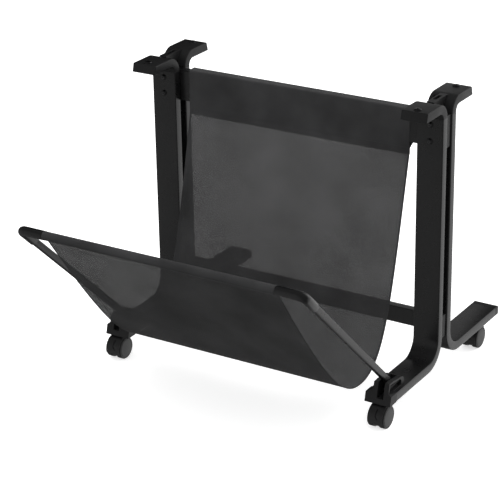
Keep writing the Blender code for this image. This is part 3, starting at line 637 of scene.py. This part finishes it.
def make_pad_screw(node, name):
    """A low domed head on the pad, with a hexagon socket and a shank."""
    low, high = box(node)
    middle = (low + high) / 2
    seat = PAD_TOP + GAP
    dome = high.z - seat - SCREW_RIM
    radius = (high.x - low.x) / 2
    profile = []
    for index in range(9):
        turn = 0.5 * math.pi * index / 8
        profile.append((seat + SCREW_RIM + dome * math.cos(turn), radius * math.sin(turn)))
    profile += [(seat + 0.0003, radius), (seat, radius - 0.0003)]
    profile += [(seat, SCREW_SHANK), (low.z, SCREW_SHANK), (low.z, 0)]
    bm = turned(profile, "Z", (middle.x, middle.y, 0))
    outline = hexagon(middle.x, middle.y, SCREW_SOCKET)
    socket = prism(outline, high.z - SCREW_SOCKET_DEPTH, high.z + SOCKET_CLEAR, "Z")
    add_piece(name, combine(bm, "DIFFERENCE", socket), STAND, STEEL, [node], angle=30)


def make_pin(node, name, body):
    """A plain pin along X, with its edges eased."""
    low, high = box(node)
    middle = (low + high) / 2
    radius = (high.z - low.z) / 2
    ease = 0.0004
    profile = [(low.x, 0), (low.x, radius - ease), (low.x + ease, radius)]
    profile += [(high.x - ease, radius), (high.x, radius - ease), (high.x, 0)]
    add_piece(name, turned(profile, "X", (0, middle.y, middle.z), 32), body, STEEL, [node])


# ---------------- arm brackets

BRACKET_BASE_TOP = 0.0762
BLOCK_HALF = 0.018
BLOCK_EDGE = 0.002
SHOULDER_IN = 0.0835
SHOULDER_OUT = 0.0795
REAR_TOP = 0.0805
REAR_CURVE = 0.016
SLOT_WIDTH = 0.015
SLOT_FLOOR = 0.0665
SLOT_REAR = -0.184
TONGUE = 0.014
POCKET_DEPTH = 0.0085
POCKET = ((-0.2375, 0.0790), (-0.1835, 0.0785), (-0.1845, 0.0880), (-0.1890, 0.0925), (-0.2335, 0.0970))
RIB = ((-0.2385, 0.0845), (-0.1825, 0.0880))
RIB_SINK = 0.0055
FOOT_BITE = 0.0005
LEAN = math.tan(math.radians(14))


def bracket_front(side, front, cap_rear, top):
    """The base as wide as the foot, its shoulders, and the narrower block, with a front that leans back."""
    low, high = LEG_X - LEG_WIDTH / 2, LEG_X + LEG_WIDTH / 2
    near, far = ARM_X - BLOCK_HALF, ARM_X + BLOCK_HALF
    outline = [(low, FOOT_BOTTOM), (high, FOOT_BOTTOM), (high, BRACKET_BASE_TOP), (far, SHOULDER_OUT)]
    outline += arc((far - BLOCK_EDGE, top - BLOCK_EDGE), BLOCK_EDGE, 0, math.pi / 2, 5)
    outline += arc((near + BLOCK_EDGE, top - BLOCK_EDGE), BLOCK_EDGE, math.pi / 2, math.pi, 5)
    outline += [(near, SHOULDER_IN), (low, BRACKET_BASE_TOP)]
    bm = prism([(side * x, z) for x, z in outline], front, cap_rear, "Y")
    bm.verts.ensure_lookup_table()
    for vertex in bm.verts[: len(outline)]:
        vertex.co.y += (vertex.co.z - FOOT_BOTTOM) * LEAN
    return bm


def make_bracket(side_name, side):
    """The cap on a front foot's end, with a tongue in the foot, a slot for the arm, and a pocket outside."""
    node = f"{side_name}_arm_bracket"
    low, high = box(node)
    front, rear = low.y, high.y
    cap_rear = box(f"front_{side_name}_leg")[0].y - GAP
    arm_x = side * ARM_X
    top = high.z
    foot_top = FOOT_BOTTOM + LEG_THICK
    bm = bracket_front(side, front, cap_rear, top)
    joint = cap_rear - 0.004
    outline = [(joint, foot_top + GAP), (rear, foot_top + GAP)]
    outline += arc((rear - REAR_CURVE, REAR_TOP), REAR_CURVE, 0, math.pi / 2, 10) + [(joint, top - GAP)]
    body = prism(outline, arm_x - BLOCK_HALF + 0.0002, arm_x + BLOCK_HALF - 0.0002)
    bm = combine(bm, "UNION", body)
    play = 2 * (LEG_WALL + GAP)
    tongue = rounded_rect(LEG_WIDTH - play, LEG_THICK - play, LEG_CORNER - LEG_WALL)
    tongue = [(side * LEG_X + a, FOOT_BOTTOM + LEG_THICK / 2 + b) for a, b in tongue]
    bm = combine(bm, "UNION", prism(tongue, joint, cap_rear + TONGUE, "Y"))
    ahead, above = front - 0.01, top + 0.01
    inside = cap_rear + TONGUE + 0.001
    slot = [(ahead, SLOT_FLOOR), (inside, SLOT_FLOOR), (inside, foot_top - FOOT_BITE)]
    slot += [(SLOT_REAR, foot_top - FOOT_BITE), (SLOT_REAR, above), (ahead, above)]
    bm = combine(bm, "DIFFERENCE", prism(slot, arm_x - SLOT_WIDTH / 2, arm_x + SLOT_WIDTH / 2))
    face = side * (ARM_X + BLOCK_HALF)
    bm = combine(bm, "DIFFERENCE", prism(POCKET, *sorted((face - side * POCKET_DEPTH, face + side * 0.01))))
    start, stop = sorted((face - side * (POCKET_DEPTH + 0.001), face - side * RIB_SINK))
    bm = combine(bm, "UNION", prism(rectangle(*RIB), start, stop))
    add_piece(f"bracket_{side_name}", bm, STAND, PLASTIC, [node], edge=0.0007)
    make_pin(f"{side_name}_pivot_pin", f"pin_{side_name}", STAND)


# ---------------- basket frame

ARM_RUN = Vector((0, TUBE.y - PIN.y, TUBE.z - PIN.z))
UP_ARM = ARM_RUN.normalized()
ACROSS = Vector((0, UP_ARM.z, -UP_ARM.y))
COLLAR = 0.056
SOCKET_MOUTH = 0.2735
SOCKET_DEPTH = 0.026
SOCKET_SPARE = 0.010
ARM_IN_COLLAR = 0.024
ELBOW_RADIUS = 0.010
ELBOW_BEND = 0.013
ELBOW_LIP = ((0, 0.0088), (0.0003, 0.0094), (0.0009, 0.0098), (0.0016, ELBOW_RADIUS))


def arm_ring(x, along, width, depth, corner):
    """The arm's section at a distance up from its pin."""
    middle = Vector((x, PIN.y, PIN.z)) + UP_ARM * along
    return [middle + Vector((a, 0, 0)) + ACROSS * b for a, b in rounded_rect(width, depth, corner, 6)]


def make_arm(side_name, side):
    """A flat-sided bar with a round foot about the pin."""
    x = side * ARM_X
    tip = ARM_RUN.length - COLLAR + ARM_IN_COLLAR
    rings = []
    for index in range(10, -1, -1):
        turn = math.radians(8) * index
        along = -ARM_DEPTH / 2 * math.sin(turn)
        depth = ARM_DEPTH * math.cos(turn)
        rings.append(arm_ring(x, along, ARM_WIDTH, depth, min(ARM_CORNER, depth / 2.2)))
    rings.append(arm_ring(x, tip, ARM_WIDTH, ARM_DEPTH, ARM_CORNER))
    add_piece(f"arm_{side_name}", loft(rings), BAIL, PAINT, [f"{side_name}_arm"])


def make_elbow(side_name, side):
    """The corner: a socket for the front tube, a bend, and a collar down the arm, with a lip at each end."""
    sideways = Vector((side, 0, 0))
    down = -UP_ARM
    flat = sideways.cross(down).normalized()
    corner = Vector((side * ARM_X, TUBE.y, TUBE.z))
    bend_centre = corner + (down - sideways) * ELBOW_BEND
    start = Vector((side * SOCKET_MOUTH, TUBE.y, TUBE.z))
    end = corner + down * COLLAR
    stations = [(start + sideways * along, sideways, radius) for along, radius in ELBOW_LIP]
    for index in range(19):
        turn = 0.5 * math.pi * index / 18
        middle = bend_centre + (sideways * math.sin(turn) - down * math.cos(turn)) * ELBOW_BEND
        stations.append((middle, sideways * math.cos(turn) + down * math.sin(turn), ELBOW_RADIUS))
    stations += [(end - down * along, down, radius) for along, radius in reversed(ELBOW_LIP)]
    rings = []
    for middle, heading, radius in stations:
        normal = flat.cross(heading).normalized()
        rings.append([middle + flat * a + normal * b for a, b in circle(radius, 48)])
    bm = loft(rings)
    bore = TUBE_RADIUS + GAP
    reach = sorted((side * -SOCKET_SPARE, side * SOCKET_DEPTH))
    socket = turned([(reach[0], 0), (reach[0], bore), (reach[1], bore), (reach[1], 0)], "X", start)
    base = ARM_RUN.length - COLLAR
    size = (ARM_WIDTH + 2 * GAP, ARM_DEPTH + 2 * GAP, ARM_CORNER + GAP)
    hole = loft([arm_ring(side * ARM_X, base + along, *size) for along in (-SOCKET_SPARE, SOCKET_DEPTH)])
    bm = combine(bm, "DIFFERENCE", socket, hole)
    add_piece(f"elbow_{side_name}", bm, BAIL, CORNER, [f"{side_name}_corner_elbow"])


def make_front_tube():
    half = TUBE_HIGH.x
    wall = 0.0012
    rings = []
    for radius in (TUBE_RADIUS, TUBE_RADIUS - wall):
        rings.append([[(x, TUBE.y + a, TUBE.z + b) for a, b in circle(radius, 48)] for x in (-half, half)])
    add_piece("tube_front", tube_loft(*rings), BAIL, PAINT, ["front_tube"])


# ---------------- basket net

NET_HALF = box("basket_rear_panel")[1].x
NET_THICK = 0.0008
BAND_TOP = box("basket_rear_panel")[1].z - NET_THICK / 2
BAND_FACE = 0.0120
BAND_SEAM = 0.532
HEM = 0.517
LAYER = 0.0014
SLEEVE_RADIUS = 0.0091
SLEEVE_SEAM = 0.0145
LOW_POINT = (-0.215, 0.0735)
REAR_DROP = ((-BAND_FACE - 0.0005, HEM), (-0.086, 0.205), (-0.113, 0.0766), LOW_POINT)
FRONT_RISE = (LOW_POINT, (-0.284, 0.0714), (-0.349, 0.1275))
SIDE_HEM = 0.0045
STITCH_PITCH = 0.0036
STITCH_LENGTH = 0.0026
STITCH_RADIUS = 0.00032
STITCH_SETBACK = 0.004
# A stitch's rings, as shares of its length and radius: place along it, thickness, and height over the cloth.
STITCH_RINGS = ((-0.5, 0.35, -0.3), (-0.3, 1, 0.5), (0, 1.05, 0.8), (0.3, 1, 0.5), (0.5, 0.35, -0.3))


def front_seam():
    """The front tube's middle, and the way from it to the seam that closes the net round it."""
    tube = Vector((TUBE.y, TUBE.z))
    toward = (Vector(FRONT_RISE[2]) - tube).normalized()
    return tube, toward


def net_path():
    """The net's run as (y, z), and the places in it where the net leaves its two sleeves.

    It goes up from the hem, round the upper beam, down the back of the basket, up to the front tube, round
    it, and back under the seam.
    """
    bottom = BEAM_LOW.z - 0.0015
    radius = 0.003
    inner = -BAND_FACE + LAYER
    path = [(inner, HEM + 0.0005), (inner, HEM + 0.006), (inner, BAND_SEAM - 0.002)]
    under = (path[-1], (inner, BAND_SEAM), (-0.001, bottom - 0.004), (BAND_FACE, bottom))
    path += bezier(under, 8)[1:-1]
    path += arc((BAND_FACE - radius, bottom + radius), radius, -0.35 * math.pi, 0, 5)
    path += arc((BAND_FACE - radius, BAND_TOP - radius), radius, 0, 0.5 * math.pi, 6)
    path += arc((-BAND_FACE + radius, BAND_TOP - radius), radius, 0.5 * math.pi, math.pi, 6)
    path += [(-BAND_FACE, BAND_TOP - radius - (BAND_TOP - radius - BAND_SEAM) * k / 6) for k in range(1, 7)]
    leaves = [len(path)]
    path += bezier(REAR_DROP, 64)
    tube, toward = front_seam()
    seam = tube + toward * SLEEVE_SEAM
    path += bezier(FRONT_RISE + (tuple(seam),), 56)[1:]
    leaves.append(len(path) - 1)
    start = math.atan2(toward.y, toward.x)
    touch = math.acos(SLEEVE_RADIUS / SLEEVE_SEAM)
    path += arc(tube, SLEEVE_RADIUS, start - touch, start + touch - 2 * math.pi, 40)
    beside = Vector((-toward.y, toward.x)) * LAYER
    path.append(tuple(seam + beside))
    path.append(tuple(seam + beside - toward * 0.005))
    return path, leaves


def path_normals(path):
    """The direction square to the path at each of its points."""
    normals = []
    for index in range(len(path)):
        before = Vector(path[max(index - 1, 0)])
        after = Vector(path[min(index + 1, len(path) - 1)])
        way = (after - before).normalized()
        normals.append(Vector((-way.y, way.x)))
    return normals


def path_lengths(path):
    """How far along the path each of its points is."""
    lengths = [0.0]
    for near, far in zip(path, path[1:]):
        lengths.append(lengths[-1] + (Vector(far) - Vector(near)).length)
    return lengths


def net_columns():
    """Places across the net, closer together at the side hems."""
    inner = NET_HALF - SIDE_HEM
    ease = 0.0008
    count = 44
    edge = [-NET_HALF, -NET_HALF + ease, -inner - ease, -inner]
    between = [-inner + 2 * inner * index / count for index in range(1, count)]
    return edge + between + [-x for x in reversed(edge)]


def make_net():
    """One closed thin sheet from sleeve to sleeve. Its side edges are folded over, so they are thicker."""
    path, leaves = net_path()
    normals = path_normals(path)
    lengths = path_lengths(path)
    columns = net_columns()
    bm = bmesh.new()
    layer = bm.loops.layers.uv.new("weave")
    walls = []
    uv = {}
    for sign in (1, -1):
        rows = []
        for (y, z), normal, run in zip(path, normals, lengths):
            row = []
            for x in columns:
                folded = NET_HALF - abs(x) < SIDE_HEM - 0.0004
                edge = NET_HALF - abs(x) < 0.0004
                thick = NET_THICK * (0.5 if edge else 1.7 if folded else 1.0)
                place = Vector((x, y, z)) + Vector((0, normal.x, normal.y)) * sign * thick / 2
                vertex = bm.verts.new(place)
                uv[vertex] = (x, run)
                row.append(vertex)
            rows.append(row)
        walls.append(rows)
    top, bottom = walls
    for rows in walls:
        for near, far in zip(rows, rows[1:]):
            strip(bm, near, far)
    for index in (0, -1):
        strip(bm, [row[index] for row in top], [row[index] for row in bottom])
        strip(bm, top[index], bottom[index])
    for face in bm.faces:
        for loop in face.loops:
            loop[layer].uv = uv[loop.vert]
    runs = [lengths[index] for index in leaves]
    cloth = woven("basket_net", base=0.041, roughness=0.75, pitch=0.0030, openings=(0.83, 0.92), least=0.45,
                  side_limit=NET_HALF - SIDE_HEM, run_limits=runs)
    net_finish = {"material": cloth, "slot": "mesh_fabric"}
    net = add_piece("net", bm, None, net_finish, ["basket_rear_panel", "basket_front_panel"], angle=60)
    net.visible_glossy = False
    return net, lengths[-1]


def stitch_row(places, heading, outward):
    """A row of stitches: small rounded threads that lie along the heading and stand a little proud."""
    side = heading.cross(outward).normalized()
    bm = bmesh.new()
    for place in places:
        rings = []
        for along, size, lift in STITCH_RINGS:
            middle = place + heading * along * STITCH_LENGTH + outward * lift * STITCH_RADIUS
            ring = circle(STITCH_RADIUS * size, 6)
            rings.append([bm.verts.new(middle + side * a + outward * b) for a, b in ring])
        for near, far in zip(rings, rings[1:]):
            bridge(bm, near, far)
        bm.faces.new(rings[0])
        bm.faces.new(reversed(rings[-1]))
    return bm


def make_stitches():
    """Two rows along the band's hem, and one beside the front tube."""
    count = int(2 * (NET_HALF - 0.004) / STITCH_PITCH)
    columns = [(index - (count - 1) / 2) * STITCH_PITCH for index in range(count)]
    across = Vector((1, 0, 0))
    outward = Vector((0, -1, 0))
    y = -BAND_FACE - NET_THICK / 2
    rows = []
    for z in (BAND_SEAM, HEM + 0.003):
        places = [Vector((x, y, z)) for x in columns]
        rows.append(stitch_row(places, across, outward))
    band = add_piece("stitches_band", merged(rows), STAND, THREAD)
    tube, toward = front_seam()
    normal = Vector((toward.y, -toward.x))
    spot = tube + toward * (SLEEVE_SEAM + STITCH_SETBACK) + normal * NET_THICK / 2
    places = [Vector((x, spot.x, spot.y)) for x in columns]
    front = stitch_row(places, across, Vector((0, normal.x, normal.y)))
    tube_row = add_piece("stitches_front", front, BAIL, THREAD)
    return [band, tube_row]


def make_basket_net():
    """The net and its stitches. The net's placement is baked into its mesh."""
    net, length = make_net()
    stitches = make_stitches()
    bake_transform(net)


# ---------------- casters

HOOD_LOW, HOOD_HIGH = box("front_right_caster_hood")
WHEEL_FACE = box("front_right_caster_right_wheel")[1].x - centre("front_right_caster_stem").x
WHEEL_BACK = 0.0060
WHEEL_RADIUS = 0.025
HOOD_INNER = 0.0256
HOOD_OUTER = 0.0272
HOOD_HALF = (HOOD_HIGH.x - HOOD_LOW.x) / 2
HOOD_FRONT = math.radians(-16)
HOOD_BACK = math.radians(140)
WEB_HALF = 0.0054
WEB_LOW_RADIUS = 0.0226
HOUSING_RADIUS = 0.0057
HOUSING_LOW = 0.026
HOUSING_HIGH = 0.0524
SLIT_WIDTH = 0.0017
SLIT_FLOOR = 0.0236
SLIT = ((0.0022, 0.0470), (0.0005, 0.0360), (0.0004, 0.0345), (0.0016, 0.0325), (0.0064, 0.0268))
STEM_RADIUS = 0.004
FLANGE = (0.0527, 0.0547)
FLANGE_RADIUS = 0.009
AXLE_BORE = (0.0181, 0.0033)
GROOVE = (0.0209, 0.0215)
GROOVE_DEPTH = 0.0021


def hood_slit(stem, axle):
    """The cutter for the crooked slit down the hood's front, which goes no deeper than its floor."""
    left, right = [], []
    for (x, z), normal in zip(SLIT, path_normals(SLIT)):
        offset = normal * SLIT_WIDTH / 2
        left.append((stem.x + x + offset.x, z + offset.y))
        right.append((stem.x + x - offset.x, z - offset.y))
    slit = prism(left + right[::-1], axle.y - HOOD_OUTER - 0.005, axle.y, "Y")
    rows = [(-0.02, 0), (-0.02, SLIT_FLOOR), (0.02, SLIT_FLOOR), (0.02, 0)]
    return combine(slit, "DIFFERENCE", turned(rows, "X", (stem.x, axle.y, axle.z), 64))


def hood_shape(stem, axle):
    """The cover over both wheels, the web between them, and the housing round the stem."""
    middle = (axle.y, axle.z)
    front, back = math.pi - HOOD_FRONT, math.pi - HOOD_BACK
    cover = arc(middle, HOOD_OUTER, front, back, 40) + arc(middle, HOOD_INNER, back, front, 40)
    bm = prism(cover, stem.x - HOOD_HALF, stem.x + HOOD_HALF)
    web = arc(middle, HOOD_OUTER - 0.0006, front, back, 40)
    web += arc(middle, WEB_LOW_RADIUS, back, front - 2 * math.pi, 30)
    low, high, radius = HOUSING_LOW, HOUSING_HIGH, HOUSING_RADIUS
    housing = [(low, 0), (low, radius), (high, radius), (high, 0)]
    bm = combine(bm, "UNION", prism(web, stem.x - WEB_HALF, stem.x + WEB_HALF))
    bm = combine(bm, "UNION", turned(housing, "Z", (stem.x, stem.y, 0), 32))
    return combine(bm, "DIFFERENCE", hood_slit(stem, axle))


def wheel_profile(side):
    """From the middle over a slightly domed face and a fine groove, round the tyre to the bore."""
    face, groove_floor = WHEEL_FACE, WHEEL_FACE - GROOVE_DEPTH
    points = [(face, 0), (face - 0.0001, 0.008), (face - 0.0003, 0.016), (face - 0.0006, 0.0203)]
    points += [(face - 0.0010, 0.0207), (groove_floor, GROOVE[0]), (groove_floor, GROOVE[1])]
    points += [(face - 0.0009, 0.0217), (face - 0.0008, 0.0222)]
    outer, inner = 0.0026, 0.0018
    quarter = 0.5 * math.pi
    points += arc((face - 0.0034, WHEEL_RADIUS - outer), outer, math.radians(10), quarter, 7)
    points += arc((WHEEL_BACK + inner, WHEEL_RADIUS - inner), inner, quarter, 2 * quarter, 5)
    points += [(WHEEL_BACK, AXLE_BORE[1]), AXLE_BORE, (AXLE_BORE[0], 0)]
    return [(side * along, min(radius, WHEEL_RADIUS)) for along, radius in points]


def stem_profile(low, high):
    """A pin with a flange between the foot and the hood."""
    radius, ease = STEM_RADIUS, 0.0004
    profile = [(high, 0), (high, radius - ease), (high - ease, radius), (FLANGE[1], radius)]
    profile += [(FLANGE[1], FLANGE_RADIUS - 0.0002), (FLANGE[1] - 0.0003, FLANGE_RADIUS)]
    profile += [(FLANGE[0] + 0.0003, FLANGE_RADIUS), (FLANGE[0], FLANGE_RADIUS - 0.0002)]
    return profile + [(FLANGE[0], radius), (low, radius), (low, 0)]


def make_caster(place):
    """The place is the name of a leg's end and side, such as front_left."""
    name = f"{place}_caster"
    body = f"{name}_swivel"
    stem, axle = centre(f"{name}_stem"), centre(f"{name}_axle")
    add_piece(f"hood_{place}", hood_shape(stem, axle), body, HOOD, [f"{name}_hood"], edge=0.0005)
    low, high = box(f"{name}_stem")
    shape = turned(stem_profile(low.z, high.z), "Z", (stem.x, stem.y, 0), 32)
    add_piece(f"stem_{place}", shape, STAND, STEEL, [f"{name}_stem"])
    make_pin(f"{name}_axle", f"axle_{place}", body)
    for wheel_name, wheel_side in SIDES:
        node = f"{name}_{wheel_name}_wheel"
        shape = turned(wheel_profile(wheel_side), "X", axle, 64)
        add_piece(f"wheel_{place}_{wheel_name}", shape, f"{node}_body", TREAD, [node], angle=30)


# ---------------- assembly


def make_stand():
    for side_name, side in SIDES:
        for end, facing in ENDS:
            make_leg(end, facing, side_name, side)
            make_pad(end, facing, side_name, side)
            make_pad_screw(f"{end}_{side_name}_pad_screw", f"screw_{end}_{side_name}")
        make_foot_plug(side_name, side)
        make_top_bridge(side_name, side)
        make_bracket(side_name, side)
        for place in ("top", "bottom"):
            make_bolt(f"upper_beam_{side_name}_{place}_bolt", f"bolt_{side_name}_{place}", -1)
        make_bolt(f"lower_beam_{side_name}_bolt", f"bolt_{side_name}_low", 1)
        upper = (BEAM_LOW.z, BEAM_HIGH.z)
        lower = (RAIL_LOW.z, RAIL_HIGH.z)
        make_beam_plug(f"upper_beam_{side_name}_plug", f"plug_upper_{side_name}", side, *upper, upper[0])
        node = f"lower_beam_{side_name}_block"
        make_beam_plug(node, f"block_lower_{side_name}", side, *lower, box(node)[0].z, LUG_NEAR)
    make_beam("upper_beam", "beam_upper", BEAM_LOW.z, BEAM_HIGH.z)
    make_beam("lower_beam", "beam_lower", RAIL_LOW.z, RAIL_HIGH.z)


make_stand()
for name_of_side, sign in SIDES:
    make_arm(name_of_side, sign)
    make_elbow(name_of_side, sign)
make_front_tube()
make_basket_net()
for end_name, _ in ENDS:
    for name_of_side, _ in SIDES:
        make_caster(f"{end_name}_{name_of_side}")

# ---------------- studio


DOME_BASE = 0.12
# Each lobe's aim, the angles at which it starts and stops fading, and its strength.
DOME_LOBES = (
    ((0.49, 0.78, -0.39), 30, 60, 0.78),
    ((-0.49, -0.78, -0.39), 30, 65, 0.22),
    ((0.42, 0.78, 0.45), 14, 34, 0.80),
    ((-0.49, 0.78, 0.39), 20, 50, -0.11),
)
DOME_RADIUS = 14
CARD = ((-0.50, 0.25), (0.02, 1.35))
CARD_BEHIND = 1.10
CARD_GLOW = 0.36
CAMERA_PLACE = Vector((1.9708, -3.3570, 1.8941))
CAMERA_TURNS = (32.04, 23.00, -1.022)
CAMERA_LENS = 137.7


def make_floor(name, level, shade_of_grey, glow):
    """A wide pale plane with a very slight mottle."""
    bm = bmesh.new()
    bmesh.ops.create_grid(bm, x_segments=2, y_segments=2, size=30)
    floor = mesh_object(name, bm)
    floor.location.z = level
    material, tree, shader = start_material(name, grey(shade_of_grey), 0.9, 0.1)
    shader.inputs["Emission Color"].default_value = (1, 1, 1, 1)
    shader.inputs["Emission Strength"].default_value = glow
    pale = [shade_of_grey + change for change in (-0.005, 0.005)]
    tint(tree, shader, span(tree, noise(tree, 0.6, 2), 0, 1), *[(value, value, value) for value in pale])
    floor.data.materials.append(material)
    floor.visible_glossy = False
    return floor


def make_floors():
    """The floor that the camera sees, and a dimmer one just under it that lights the stand from below."""
    seen = make_floor("floor", 0, 0.92, 0.60)
    seen.visible_diffuse = False
    seen.visible_shadow = False
    felt = make_floor("floor_bounce", -0.002, 0.24, 0)
    felt.visible_camera = False
    felt.visible_shadow = False


def make_world():
    """An even white surround for the camera and the floor. The paint mirrors the dome instead."""
    world = bpy.data.worlds.new("studio")
    bpy.context.scene.world = world
    world.use_nodes = True
    background = world.node_tree.nodes["Background"]
    background.inputs["Color"].default_value = (1, 1, 1, 1)
    background.inputs["Strength"].default_value = 1.08
    world.cycles_visibility.glossy = False


def make_reflected(name, bm):
    """A glowing object that only shows in reflections, with its node tree and its Emission node."""
    obj = mesh_object(name, bm)
    material = bpy.data.materials.new(name)
    material.use_nodes = True
    tree = material.node_tree
    tree.nodes.clear()
    glow = add_node(tree, "Emission")
    add_node(tree, "OutputMaterial", {"Surface": glow.outputs[0]})
    obj.data.materials.append(material)
    for ray in ("camera", "diffuse", "transmission", "shadow", "volume_scatter"):
        setattr(obj, f"visible_{ray}", False)
    return obj, tree, glow


def make_dome():
    """A large sphere round the stand: bright to the right and rear, dim to the front and left."""
    bm = bmesh.new()
    bmesh.ops.create_icosphere(bm, subdivisions=4, radius=DOME_RADIUS)
    dome, tree, glow = make_reflected("reflection_dome", bm)
    direction = add_node(tree, "VectorMath", {0: add_node(tree, "TexCoord").outputs["Object"]})
    direction.operation = "NORMALIZE"
    total = DOME_BASE
    for aim, inner, outer, strength in DOME_LOBES:
        dot = add_node(tree, "VectorMath", {0: direction.outputs[0], 1: Vector(aim).normalized()})
        dot.operation = "DOT_PRODUCT"
        edges = [math.cos(math.radians(angle)) for angle in (outer, inner)]
        lobe = span(tree, dot.outputs["Value"], 0, strength, edges)
        lobe.node.interpolation_type = "SMOOTHSTEP"
        total = math_node(tree, "ADD", lobe, total)
    tree.links.new(math_node(tree, "MAXIMUM", total, 0.0), glow.inputs["Strength"])
    dome.data.shade_smooth()


def make_card():
    """A card behind the stand, for the tops of the pads and feet at the right."""
    bm = bmesh.new()
    bm.faces.new([bm.verts.new((x, CARD_BEHIND, z)) for x, z in rectangle(*CARD)])
    make_reflected("reflection_card", bm)[2].inputs["Strength"].default_value = CARD_GLOW


def make_key_light():
    """A large soft light above the right rear, which draws the faint shadows to the front left."""
    data = bpy.data.lights.new("key", "AREA")
    data.shape = "DISK"
    data.size = 2.6
    data.energy = 60
    light = bpy.data.objects.new("key", data)
    bpy.context.scene.collection.objects.link(light)
    light.location = (2.2, 2.4, 4.2)
    light.rotation_euler = (Vector((0, 0, 0.2)) - light.location).to_track_quat("-Z", "Y").to_euler()
    light.visible_glossy = False
    light.visible_camera = False


def make_camera():
    """A long lens to the right of the front, looking down on the stand, with a very slight roll."""
    azimuth, elevation, roll = [math.radians(angle) for angle in CAMERA_TURNS]
    level = Vector((-math.sin(azimuth), math.cos(azimuth), 0))
    forward = level * math.cos(elevation) - Vector((0, 0, math.sin(elevation)))
    right = Vector((math.cos(azimuth), math.sin(azimuth), 0))
    up = right.cross(forward)
    leaned = right * math.cos(roll) + up * math.sin(roll)
    upright = up * math.cos(roll) - right * math.sin(roll)
    data = bpy.data.cameras.new("camera")
    data.lens = CAMERA_LENS
    data.sensor_width = 36
    camera = bpy.data.objects.new("camera", data)
    bpy.context.scene.collection.objects.link(camera)
    turn = Matrix((leaned, upright, -forward)).transposed()
    camera.matrix_world = Matrix.Translation(CAMERA_PLACE + MIDDLE) @ turn.to_4x4()
    bpy.context.scene.camera = camera


make_floors()
make_world()
make_dome()
make_card()
make_key_light()
make_camera()
bpy.context.scene.view_settings.view_transform = "Standard"
